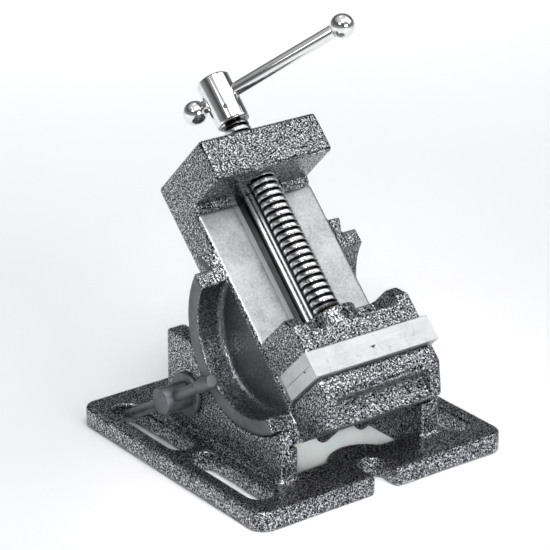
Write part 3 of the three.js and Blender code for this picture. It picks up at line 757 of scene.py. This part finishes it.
def bed_ground(px, py, pz):
    """The bed's mark, raised on the bevels, which are painted bright as a highlight."""
    wide = np.abs(px)
    strip = (wide > CHANNEL_HALF - 0.1) & (wide < BEVEL_EDGE - 0.4)
    strip &= (pz > BED_Z - 1.2) & (py < GROOVE_Y[0]) & (py > SEAT_Y)
    bed = bed_mark(px, py, pz)
    # The raised mark makes the casting material paint a highlight on the bevels.
    return np.where(strip & (bed > 0), PAINTED_HIGHLIGHT_MARK, bed)


def channel_mark(px, py, pz):
    """Above zero on the channel's walls and floor, which take the dark bare-metal colour as painted shade."""
    inside = np.minimum(CHANNEL_HALF + 0.6 - np.abs(px), pz - CHANNEL_FLOOR + 1.1)
    inside = np.minimum(inside, BED_Z + 0.3 - pz)
    return np.minimum(np.minimum(inside, BLOCK_FRONT - 0.6 - py), py - SEAT_Y + 0.6)


def body_ring_shade(px, py, pz):
    """One inside the rings, where the enamel is painted darker, as shade, with a finer speckle."""
    inside = np.minimum(RING_INNER + 0.6 - np.hypot(py, pz), RING_TOP + 0.5 - pz)
    return np.clip(inside, 0, 1) * (np.abs(px) > 46.5)


def body_bare(px, py, pz):
    """Above zero on all machined faces: bed, channel, ring sides, rocker faces and stop lugs."""
    wide = np.abs(px)
    side = wide - RING_HALF + 0.45
    sliding = 0.45 - np.abs(np.hypot(py, pz) - RING_RADIUS)
    sliding = np.minimum(sliding, np.maximum(wide - 48.2, UNDERSIDE_Z - 0.6 - pz))
    slope = (wide - LUG_X) * LUG_SLOPE[0] - (py - LUG_Y) * LUG_SLOPE[1] + 0.5
    lug = np.minimum(np.minimum(slope, py - 57), np.minimum(pz + 19.2, -13.4 - pz))
    metal = np.maximum(bed_mark(px, py, pz), channel_mark(px, py, pz))
    return np.maximum(np.maximum(metal, side), np.maximum(sliding, lug))


def build_body():
    g = Grid((-RING_HALF, -76.2, -RING_RADIUS), (RING_HALF, BODY_END, BLOCK_TOP), 1.05)
    wide = np.abs(g.x)
    casting = body_cuts(body_solid(g.y, g.z, wide), g.x, g.y, g.z, wide)
    marks = [("bare", body_bare), ("ground", bed_ground), ("ring_shade", body_ring_shade)]
    body = field_piece("vise_casting", casting, g, TILTED, marks)
    return finish_piece(body, "tilting_vise", ["vise_body"], "hammertone", CASTING)


# --------------------------------------
# Moving jaw
# --------------------------------------

JAW_FACE = -26.9
JAW_TOP = 30.2
JAW_SOLE = BED_Z + 0.3
TONGUE_HALF, TONGUE_FLOOR = 13.1, -31.0
KEEPER_Y = -7


def build_moving_jaw():
    g = Grid((-BODY_HALF, JAW_FACE, TONGUE_FLOOR), (BODY_HALF, 0.0, JAW_TOP), 0.85)
    x, y, z = g.x, g.y, g.z
    wide = np.abs(x)
    profile = polygon(y, z, softened([
        (0, JAW_SOLE, 0.4),
        (0, 22.2, 1.6),
        (-8, JAW_TOP, 1.6),
        (JAW_FACE, JAW_TOP, 0.8),
        (JAW_FACE, JAW_SOLE, 0.4),
    ]))
    block = meet(profile, wide - BODY_HALF, 1.7)
    pocket = meet(meet(span(wide, -1, 37), -13 - y, 2.4), 4 - z, 2.0)
    block = cut(block, pocket, 1.2)
    boss = meet(disc(x, z, 0, SCREW_Z, 17.4), span(y, -16, 0), 1.2)
    casting = meet(union(block, boss, 1.8), y)
    tongue = meet(meet(wide - TONGUE_HALF, span(z, TONGUE_FLOOR, -8)), span(y, JAW_FACE, 0), 0.6)
    casting = union(casting, tongue)
    casting = cut(casting, meet(disc(x, z, 0, SCREW_Z, 6.9), -13.8 - y), 0.5)
    casting = cut(casting, meet(disc(x, y, 0, KEEPER_Y, 2.9), 6 - z), 0.6)
    casting = cut(casting, disc(x, z, 0, ROD_Z, ROD_HOLE))
    casting = cut(casting, meet(disc(wide, z, SCREW_X, MOVING_SCREW_Z, HEAD_HOLE), -18 - y), 0.4)
    casting = cut(casting, disc(wide, z, SCREW_X, MOVING_SCREW_Z, SHANK_HOLE))

    def bare(px, py, pz):
        return np.maximum(JAW_SOLE + 0.5 - pz, JAW_FACE + 0.3 - py)

    jaw = field_piece("moving_jaw_casting", casting, g, TILTED, [("bare", bare), ("ground", bare)])
    return finish_piece(jaw, "sliding_jaw", ["movable_jaw"], "hammertone", CASTING)


# --------------------------------------
# Jaw plates and their screws
# --------------------------------------

PLATE_HALF = 50.0
PLATE_Z = (-3.5, 33.3)
PLATE_EASE = 0.45
FIXED_PLATE_Y = (-44.9, -36.07)
MOVING_PLATE_Y = (-36.03, -27.2)
VEE_LEVEL = 24.0


def prism(name, outline, x_range):
    """A (y, z) outline swept along X between two stations, in mm."""
    count = len(outline)
    verts = [(x, y, z) for x in x_range for y, z in outline]
    faces = [tuple(range(count)), tuple(range(2 * count - 1, count - 1, -1))]
    for k in range(count):
        n = (k + 1) % count
        faces.append((k, k + count, n + count, n))
    obj = mesh_piece(name, verts, faces, TILTED)
    fix_normals(obj)
    return obj


def upright_prism(name, outline):
    """A triangular (x, y) outline swept past the top and bottom of the jaw plates."""
    verts = [(x, y, z) for z in (PLATE_Z[0] - 1, PLATE_Z[1] + 1) for x, y in outline]
    faces = [(0, 1, 2), (5, 4, 3), (0, 3, 4, 1), (1, 4, 5, 2), (2, 5, 3, 0)]
    obj = mesh_piece(name, verts, faces, TILTED)
    fix_normals(obj)
    return obj


def plate_outline(low, high, grooved):
    """A jaw plate's section, eased along the edges of its outer face."""
    bottom, top = PLATE_Z
    if grooved:
        return [(low + PLATE_EASE, bottom), (high, bottom), (high, top), (low + PLATE_EASE, top),
                (low, top - PLATE_EASE), (low, bottom + PLATE_EASE)]
    return [(low, bottom), (high - PLATE_EASE, bottom), (high, bottom + PLATE_EASE),
            (high, top - PLATE_EASE), (high - PLATE_EASE, top), (low, top)]


def build_plate(name, node, body, y_range, hole_z, grooved):
    """A jaw plate with tapped holes in its back; the grooved one has vees to hold round stock."""
    low, high = y_range
    back, mating, inward = (low, high, 1) if grooved else (high, low, -1)
    plate = prism(name, plate_outline(low, high, grooved), (-PLATE_HALF, PLATE_HALF))
    cutters = []
    for side in (-1, 1):
        start = aimed((side * SCREW_X, back - inward, hole_z), (0, inward, 0), TILTED)
        cutters.append(lathe("screw_hole", bore(SHANK_HOLE, 0, 6.4), start, 32))
    for side in (-1, 1):
        cutters.append(upright_prism("end_edge", [
            (side * (PLATE_HALF + 0.1), mating - inward * 0.4),
            (side * (PLATE_HALF - 0.4), mating + inward * 0.1),
            (side * (PLATE_HALF + 0.1), mating + inward * 0.1),
        ]))
    if grooved:
        level = [(high - 2.0, VEE_LEVEL), (high + 1, VEE_LEVEL + 3.0), (high + 1, VEE_LEVEL - 3.0)]
        cutters.append(prism("level_groove", level, (-PLATE_HALF - 1, PLATE_HALF + 1)))
        standing = [(-3.2, high + 1), (0, high - 2.2), (3.2, high + 1)]
        cutters.append(upright_prism("standing_groove", standing))
    bored(plate, cutters)
    crisp(plate)
    return finish_piece(plate, body, [node], "ground_steel", GROUND, smooth=False)


def cap_screw(name, node, body, x, z, start, seat, end):
    """A socket head cap screw along the screw axis, with its head's top at the start station."""
    into = 1 if end > start else -1
    place = aimed((x, start, z), (0, into, 0), TILTED)
    head = abs(seat - start)
    reach = abs(end - start)
    corners = [(0, 0, 0), (4.8, 0, 0.7), (4.8, head, 0.2), (3.0, head, 0), (3.0, reach, 0.6), (0, reach, 0)]
    socket = ("socket", [(0, -1), (2.65, -1), (2.65, 2.6), (0, 2.9)], place, 6)
    return turned_piece(name, corners, place, 40, (body, [node], "dark_steel", OXIDE), [socket])


# --------------------------------------
# Lead screw, hub and sliding bar
# --------------------------------------

THREAD = (2.2, 145.7)
MAJOR, MINOR, PITCH = 9.15, 6.9, 5.0
# Shares of a turn taken by the flat crest, its eased edges and each flank.
CREST, EASE, FLANK = 0.56, 0.05, 0.11
# How high the thread stands at the foot of the crest's easing, as a share of its full height.
SHOULDER = 0.90
RUN_OUT = 1.6
STEPS_PER_TURN = 56
SPINDLE = aimed((0, 0, SCREW_Z), (0, 1, 0), TILTED)


def thread_height(part):
    """Height of the thread, from 0 at the root to 1 at the crest, at a share of a turn."""
    if part <= CREST:
        edge = min(part, CREST - part)
        return 1.0 - (1.0 - SHOULDER) * max(0.0, 1 - edge / EASE) ** 2
    if part >= 1 - FLANK:
        return SHOULDER * (part - (1 - FLANK)) / FLANK
    if part <= CREST + FLANK:
        return SHOULDER * (1 - (part - CREST) / FLANK)
    return 0.0


def thread_surface():
    """Points, their depth shares and the faces of a helical sheet, flat where it passes either end."""
    stops = [0.0, 0.02, EASE, CREST - EASE, CREST - 0.02, CREST]
    stops += [CREST + FLANK * t for t in (0.25, 0.5, 0.75, 1.0)]
    stops += [0.78]
    stops += [1.0 - FLANK * t for t in (1.0, 0.75, 0.5, 0.25)]
    count = len(stops)
    first, last = THREAD
    steps = (math.ceil((last - first) / PITCH) + 2) * STEPS_PER_TURN
    end = steps + STEPS_PER_TURN
    verts, depth, faces = [], [], []
    for j in range(end + 1):
        angle = 2 * math.pi * j / STEPS_PER_TURN
        for part in stops:
            along = first + (j / STEPS_PER_TURN + part - 1.5) * PITCH
            at = min(max(along, first), last)
            fade = min(1.0, max(0.0, (at - first) / RUN_OUT), max(0.0, (last - at) / RUN_OUT))
            level = thread_height(part) * fade
            radius = MINOR + (MAJOR - MINOR) * level
            verts.append((radius * math.sin(angle), radius * math.cos(angle), at))
            depth.append(1 - level)
    for j in range(steps):
        for k in range(count):
            c, d = (j + 1, k + 1), (j, k + 1)
            if k + 1 == count:
                c, d = (j + 1 + STEPS_PER_TURN, 0), (j + STEPS_PER_TURN, 0)
            if c[0] > end:
                continue
            ring = [turn * count + stop for turn, stop in ((j, k), (j + 1, k), c, d)]
            stations = [verts[i][2] for i in ring]
            if max(stations) - min(stations) < 1e-6 and stations[0] in (first, last):
                continue
            faces.append(ring)
    return verts, depth, faces


def build_lead_screw():
    verts, depth, faces = thread_surface()
    screw = mesh_piece("screw_thread", verts, faces, SPINDLE)
    add_attribute(screw, "depth", depth)
    bm = bmesh.new()
    bm.from_mesh(screw.data)
    bmesh.ops.remove_doubles(bm, verts=bm.verts, dist=2e-6)
    bmesh.ops.delete(bm, geom=[v for v in bm.verts if not v.link_faces], context="VERTS")
    rims = [e for e in bm.edges if e.is_boundary]
    bmesh.ops.holes_fill(bm, edges=rims, sides=0)
    bmesh.ops.recalc_face_normals(bm, faces=bm.faces)
    bm.to_mesh(screw.data)
    bm.free()
    crisp(screw, 50)
    finish_piece(screw, "spindle", ["lead_screw"], "machined_steel", TURNED, smooth=False)

    home = ("spindle", [], "machined_steel", TURNED)
    # The pilot and neck get a fixed depth, which the turned steel paints as shade: a little on the pilot,
    # dark on the neck under the hub.
    turned_piece("screw_pilot", [
        (0, 3.2, 0), (6.6, 3.2, 0.2), (6.6, -4.1, 0.3), (4.6, -4.1, 0.3), (4.6, -9.9, 0.3),
        (6.6, -9.9, 0.3), (6.6, -13.4, 0.8), (0, -13.4, 0),
    ], SPINDLE, 64, home, depth=0.2)
    turned_piece("screw_neck", [
        (0, 145.0, 0), (5.9, 145.0, 0), (5.9, 157.8, 0.6), (0, 157.8, 0),
    ], SPINDLE, 48, home, depth=0.6)


HUB = (146.0, 180.5)
HUB_RADIUS = 11.75
BAR_Y, BAR_DEG = 166.0, 48.5
BAR_RADIUS = 4.7
BAR_REACH = (-20.5, 94.8)
SPIGOT_RADIUS = 3.1
BALL_RADIUS, BALL_FLAT = 8.37, 6.95
PIN_Y, PIN_DEG = 155.6, 125.2


def across_frame(degrees, along):
    """A frame on the screw's axis whose Z axis lies across it at an angle."""
    way = (math.cos(math.radians(degrees)), 0, math.sin(math.radians(degrees)))
    return aimed((0, along, SCREW_Z), way, TILTED)


def build_hub():
    low, high = HUB
    turned_piece("hub", [
        (0, low + 1.6, 0), (9.4, low + 1.6, 0.3), (9.9, low, 0.25),
        (HUB_RADIUS - 0.3, low, 0.5), (HUB_RADIUS, low + 1.6, 0.6),
        (HUB_RADIUS, high - 1.3, 0.5), (HUB_RADIUS - 1.3, high, 0.6), (0, high, 0),
    ], SPINDLE, 128, ("spindle", ["screw_hub"], "chrome", CHROME), [
        ("bar_hole", bore(BAR_RADIUS + 0.3, -20, 20), across_frame(BAR_DEG, BAR_Y), 64),
        ("pin_hole", bore(1.65, -20, 20), across_frame(PIN_DEG, PIN_Y), 24),
    ], sharp=28)
    reach = HUB_RADIUS - 0.35
    turned_piece("roll_pin", [
        (0, -reach, 0), (1.5, -reach, 0.3), (1.5, reach, 0.3), (0, reach, 0),
    ], across_frame(PIN_DEG, PIN_Y), 24, ("spindle", ["hub_pin"], "dark_steel", OXIDE))


def ball_profile(centre, inward):
    """A ball on a bar's end, faced off where the bar goes in. The outline starts at its outer pole."""
    points = [(0, centre - inward * BALL_RADIUS)]
    facing = math.pi - math.acos(BALL_FLAT / BALL_RADIUS)
    for k in range(1, 41):
        angle = facing * k / 40
        points.append((BALL_RADIUS * math.sin(angle), centre - inward * BALL_RADIUS * math.cos(angle)))
    points.append((SPIGOT_RADIUS + 0.3, centre + inward * BALL_FLAT))
    points.append((SPIGOT_RADIUS + 0.3, centre + inward * 2.0))
    points.append((0, centre + inward * 2.0))
    return points


def build_tommy():
    """The bar that slides through the hub, and a ball on each end."""
    place = across_frame(BAR_DEG, BAR_Y)
    low, high = BAR_REACH
    start, end = low + BALL_FLAT + 0.1, high - BALL_FLAT - 0.1
    tip, other_tip = low + 2.4, high - 2.4
    turned_piece("sliding_bar", [
        (0, tip, 0), (SPIGOT_RADIUS, tip, 0.2), (SPIGOT_RADIUS, start, 0), (BAR_RADIUS, start, 0.5),
        (BAR_RADIUS, end, 0.5), (SPIGOT_RADIUS, end, 0), (SPIGOT_RADIUS, other_tip, 0.2), (0, other_tip, 0),
    ], place, 72, ("tommy", ["tommy_bar"], "chrome", CHROME))
    for name, node, centre, inward in (
        ("ball_low", "tommy_ball_lower", low, 1),
        ("ball_high", "tommy_ball_upper", high, -1),
    ):
        ball = lathe(name, ball_profile(centre, inward), place, 80)
        crisp(ball, 35)
        finish_piece(ball, "tommy", [node], "chrome", CHROME, smooth=False)


def build_small_turned():
    """Brass washer in front of the jaw's boss, guide rod in the channel, and the screw's keeper."""
    turned_piece("washer_ring", [
        (6.9, 0.3, 0), (8.85, 0.3, 0.25), (8.85, 1.9, 0.25), (6.9, 1.9, 0),
    ], SPINDLE, 64, ("sliding_jaw", ["thrust_washer"], "brass", BRASS))
    turned_piece("guide_bar", [
        (0, -55.7, 0), (4.6, -55.7, 0.6), (4.6, 112.7, 0.6), (0, 112.7, 0),
    ], aimed((0, 0, ROD_Z), (0, 1, 0), TILTED), 56, ("tilting_vise", ["guide_rod"], "machined_steel", DRAWN))
    keeper_at = aimed((0, KEEPER_Y, SCREW_Z), (0, 0, 1), TILTED)
    socket = ("socket", [(0, 13.2), (1.5, 13.4), (1.5, 17), (0, 17)], keeper_at, 6)
    turned_piece("keeper_screw", [
        (0, 5.0, 0), (1.9, 5.0, 0.3), (2.5, 6.2, 0.2), (2.5, 15.2, 0.5), (0, 15.2, 0),
    ], keeper_at, 32, ("sliding_jaw", ["jaw_retaining_screw"], "dark_steel", OXIDE), [socket])


# --------------------------------------
# Tilt clamp
# --------------------------------------

CLAMP_BAR_DEG = -32.8
CLAMP = Matrix.Translation(CLAMP_AXIS) @ Matrix.Rotation(math.radians(CLAMP_BAR_DEG), 4, "X")
CLAMP_X = CLAMP_AXIS.x / MM
HEAD_X = (-88.3, -69.2)
HEAD_RADIUS = 9.3
BOLT_TIP = -26.5
BOLT_RADIUS, BOLT_ROOT, BOLT_PITCH = 6.0, 5.3, 1.8
CLAMP_BAR_RADIUS, CLAMP_SPIGOT = 3.75, 2.4
KNOB_HOLE = 2.7
KNOB_UPPER = (-56.0, -38.5)
KNOB_LOWER = (50.0, 62.0)
COLLAR_X, COLLAR_RADIUS = (-68.9, -66.0), 15.0
# The dog: a bar with a toe that stands up at its front and a heel that reaches out to the wall.
DOG_X, DOG_Y, DOG_Z = (-39.6, -29.6), (-14, 44), (33, 47.5)
TOE_Y, TOE_TOP = (-14, 0), 54
HEEL_X, HEEL_Y = (-51.2, -35), (36, 44)


def build_clamp_screw():
    along = aimed((0, 0, 0), (1, 0, 0), CLAMP)
    across = aimed((0, 0, 0), (0, 1, 0), CLAMP)
    head, seat = HEAD_X[0] - CLAMP_X, HEAD_X[1] - CLAMP_X
    tip = BOLT_TIP - CLAMP_X
    corners = [(0, head, 0), (HEAD_RADIUS, head, 0.9), (HEAD_RADIUS, seat, 0.4), (BOLT_RADIUS, seat, 0.4)]
    at = seat + 14.0
    while at < tip - 3:
        corners += [(BOLT_RADIUS, at, 0.15), (BOLT_ROOT, at + BOLT_PITCH / 2, 0.15)]
        at += BOLT_PITCH
    corners += [(BOLT_RADIUS, tip - 1, 0.2), (BOLT_RADIUS - 1, tip, 0.2), (0, tip, 0)]
    hole = ("hole", bore(CLAMP_BAR_RADIUS + 0.3, -12, 12), across, 40)
    home = ("clamp_spindle", ["clamp_screw"], "dark_steel", OXIDE)
    turned_piece("clamp_bolt", corners, along, 72, home, [hole], steps=2)


def build_clamp_bar():
    """The clamp's sliding bar and the knob on each of its ends."""
    across = aimed((0, 0, 0), (0, 1, 0), CLAMP)
    top, top_end = KNOB_UPPER
    foot_end, foot = KNOB_LOWER
    start, end = top_end + 0.2, foot_end - 0.2
    turned_piece("clamp_rod", [
        (0, top + 6, 0), (CLAMP_SPIGOT, top + 6, 0.2), (CLAMP_SPIGOT, start, 0),
        (CLAMP_BAR_RADIUS, start, 0.3), (CLAMP_BAR_RADIUS, end, 0.3),
        (CLAMP_SPIGOT, end, 0), (CLAMP_SPIGOT, foot - 5, 0.2), (0, foot - 5, 0),
    ], across, 48, ("clamp_handle", ["clamp_bar"], "dark_steel", OXIDE))
    turned_piece("clamp_knob_high", [
        (0, top, 0), (4.6, top, 1.6), (4.95, top_end - 4, 1.0), (4.1, top_end, 0.5),
        (KNOB_HOLE, top_end, 0), (KNOB_HOLE, top_end - 12, 0), (0, top_end - 12, 0),
    ], across, 48, ("clamp_handle", ["clamp_bar_knob_upper"], "dark_steel", OXIDE), sharp=40)
    turned_piece("clamp_knob_low", [
        (0, foot, 0), (4.3, foot, 1.5), (4.6, foot_end + 2.5, 0.8), (4.0, foot_end, 0.4),
        (KNOB_HOLE, foot_end, 0), (KNOB_HOLE, foot_end + 7.3, 0), (0, foot_end + 7.3, 0),
    ], across, 48, ("clamp_handle", ["clamp_bar_knob_lower"], "dark_steel", OXIDE), sharp=40)


def build_clamp_collar():
    low, high = COLLAR_X
    turned_piece("clamp_collar", [
        (CLAMP_HOLE, low, 0), (COLLAR_RADIUS, low, 0.7), (COLLAR_RADIUS, high, 0.3), (CLAMP_HOLE, high, 0),
    ], aimed((0, CLAMP_Y, CLAMP_Z), (1, 0, 0)), 96, ("cradle", ["clamp_washer"], "dark_steel", OXIDE))


def build_clamp_dog():
    low, high = (tuple(c / MM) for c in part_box("clamp_dog"))
    g = Grid(low, high, 0.8)
    x, y, z = g.x, g.y, g.z
    bar = meet(rectangle(x, z, DOG_X, DOG_Z, 1.0), span(y, *DOG_Y), 1.0)
    toe = meet(rectangle(x, y, DOG_X, TOE_Y, 1.0), span(z, DOG_Z[0], TOE_TOP), 1.0)
    heel = meet(rectangle(x, z, HEEL_X, DOG_Z, 1.0), span(y, *HEEL_Y), 1.0)
    dog = cut(union(union(bar, toe), heel), disc(y, z, CLAMP_Y, CLAMP_Z, BOLT_RADIUS + 0.3), 0.6)
    piece = field_piece("clamp_dog_bar", dog, g, LEVEL)
    finish_piece(piece, "dog", ["clamp_dog"], "dark_steel", OXIDE)


# --------------------------------------
# Everything in place
# --------------------------------------

build_base()
build_body()
build_moving_jaw()
build_plate("fixed_plate", "fixed_jaw_plate", "tilting_vise", FIXED_PLATE_Y, FIXED_SCREW_Z, True)
build_plate("moving_plate", "movable_jaw_plate", "sliding_jaw", MOVING_PLATE_Y, MOVING_SCREW_Z, False)
for sign, word in ((-1, "left"), (1, "right")):
    cap_screw(f"fixed_cap_{word}", f"fixed_plate_screw_{word}", "tilting_vise",
              sign * SCREW_X, FIXED_SCREW_Z, -60.6, -55.3, FIXED_PLATE_Y[0] + 5)
    cap_screw(f"moving_cap_{word}", f"movable_plate_screw_{word}", "sliding_jaw",
              sign * SCREW_X, MOVING_SCREW_Z, -13.4, -17.7, MOVING_PLATE_Y[1] - 5)
build_lead_screw()
build_hub()
build_tommy()
build_small_turned()
build_clamp_screw()
build_clamp_bar()
build_clamp_collar()
build_clamp_dog()


# --------------------------------------
# Floor, light and camera
# --------------------------------------

FLOOR_HALF = 7.0
FLOOR_Z = -0.0002


def make_floor():
    mesh = bpy.data.meshes.new("studio_floor")
    corners = [(x * FLOOR_HALF, y * FLOOR_HALF, FLOOR_Z) for x, y in ((-1, -1), (1, -1), (1, 1), (-1, 1))]
    mesh.from_pydata(corners, [], [(0, 1, 2, 3)])
    floor = bpy.data.objects.new("studio_floor", mesh)
    floor.data.materials.append(FLOOR)
    bpy.context.scene.collection.objects.link(floor)


def make_world():
    """A dim studio, pale only where the camera looks straight at it."""
    world = bpy.data.worlds.new("studio")
    bpy.context.scene.world = world
    world.use_nodes = True
    tree = world.node_tree
    tree.nodes.clear()
    output = tree.nodes.new("ShaderNodeOutputWorld")
    background = tree.nodes.new("ShaderNodeBackground")
    place = tree.nodes.new("ShaderNodeTexCoord")
    split = tree.nodes.new("ShaderNodeSeparateXYZ")
    ramp = tree.nodes.new("ShaderNodeValToRGB")
    tree.links.new(place.outputs["Generated"], split.inputs[0])
    tree.links.new(split.outputs["Z"], ramp.inputs[0])
    stops = ramp.color_ramp.elements
    stops[0].position, stops[0].color = 0.0, (0.30, 0.31, 0.32, 1)
    stops[1].position, stops[1].color = 1.0, (0.80, 0.81, 0.82, 1)
    dark = stops.new(0.45)
    dark.color = (0.05, 0.052, 0.056, 1)
    path = tree.nodes.new("ShaderNodeLightPath")
    pale = tree.nodes.new("ShaderNodeMix")
    pale.data_type = "RGBA"
    pale.inputs[7].default_value = (0.90, 0.92, 0.95, 1)
    tree.links.new(path.outputs["Is Camera Ray"], pale.inputs[0])
    tree.links.new(ramp.outputs[0], pale.inputs[6])
    tree.links.new(pale.outputs[2], background.inputs[0])
    background.inputs[1].default_value = 1.0
    tree.links.new(background.outputs[0], output.inputs[0])


def area_light(name, at, size, power, aim=(0, 0, 0.1), spread=math.pi):
    """A square or oblong soft light, in metres and watts; a narrow spread keeps it on what it aims at."""
    data = bpy.data.lights.new(name, "AREA")
    data.shape = "RECTANGLE"
    data.size, data.size_y = size
    data.energy = power
    data.spread = spread
    light = bpy.data.objects.new(name, data)
    light.location = at
    light.rotation_mode = "QUATERNION"
    light.rotation_quaternion = (Vector(aim) - Vector(at)).to_track_quat("-Z", "Y")
    bpy.context.scene.collection.objects.link(light)


def make_camera():
    data = bpy.data.cameras.new("camera")
    data.sensor_width = 36.0
    data.lens = CAMERA_LENS
    data.clip_start, data.clip_end = 0.05, 50
    camera = bpy.data.objects.new("camera", data)
    right = CAMERA_RIGHT.normalized()
    up = (-CAMERA_DOWN).normalized()
    back = right.cross(up).normalized()
    matrix = Matrix((right, up, back)).transposed().to_4x4()
    matrix.translation = CAMERA_AT
    camera.matrix_world = matrix
    bpy.context.scene.collection.objects.link(camera)
    bpy.context.scene.camera = camera


make_floor()
make_world()
# The key is the broad light that the bed and the jaw plates mirror. The two floor lights reach only the
# floor, and window_fill only what shows of it through the base's window.
area_light("key", (1.20, -0.80, 1.64), (1.8, 1.8), 10.9)
area_light("overhead", (-0.35, -0.8, 2.2), (0.9, 0.9), 20)
area_light("front", (0.0, -2.1, 0.9), (0.9, 0.7), 14)
area_light("upper_left", (-1.50, -0.65, 1.55), (0.7, 0.7), 4.0)
area_light("far_floor", (0.9, 1.6, 2.0), (1.8, 1.8), 10, aim=(0.9, 1.6, 0), spread=1.1)
area_light("window_fill", (-0.95, -1.30, 0.70), (0.2, 0.2), 0.2, aim=(0.0, -0.06, 0), spread=0.16)
area_light("left_floor", (-1.3, 0.5, 1.6), (1.0, 1.0), 3, aim=(-1.1, 0.5, 0), spread=1.0)
make_camera()
bpy.context.scene.view_settings.view_transform = "Standard"
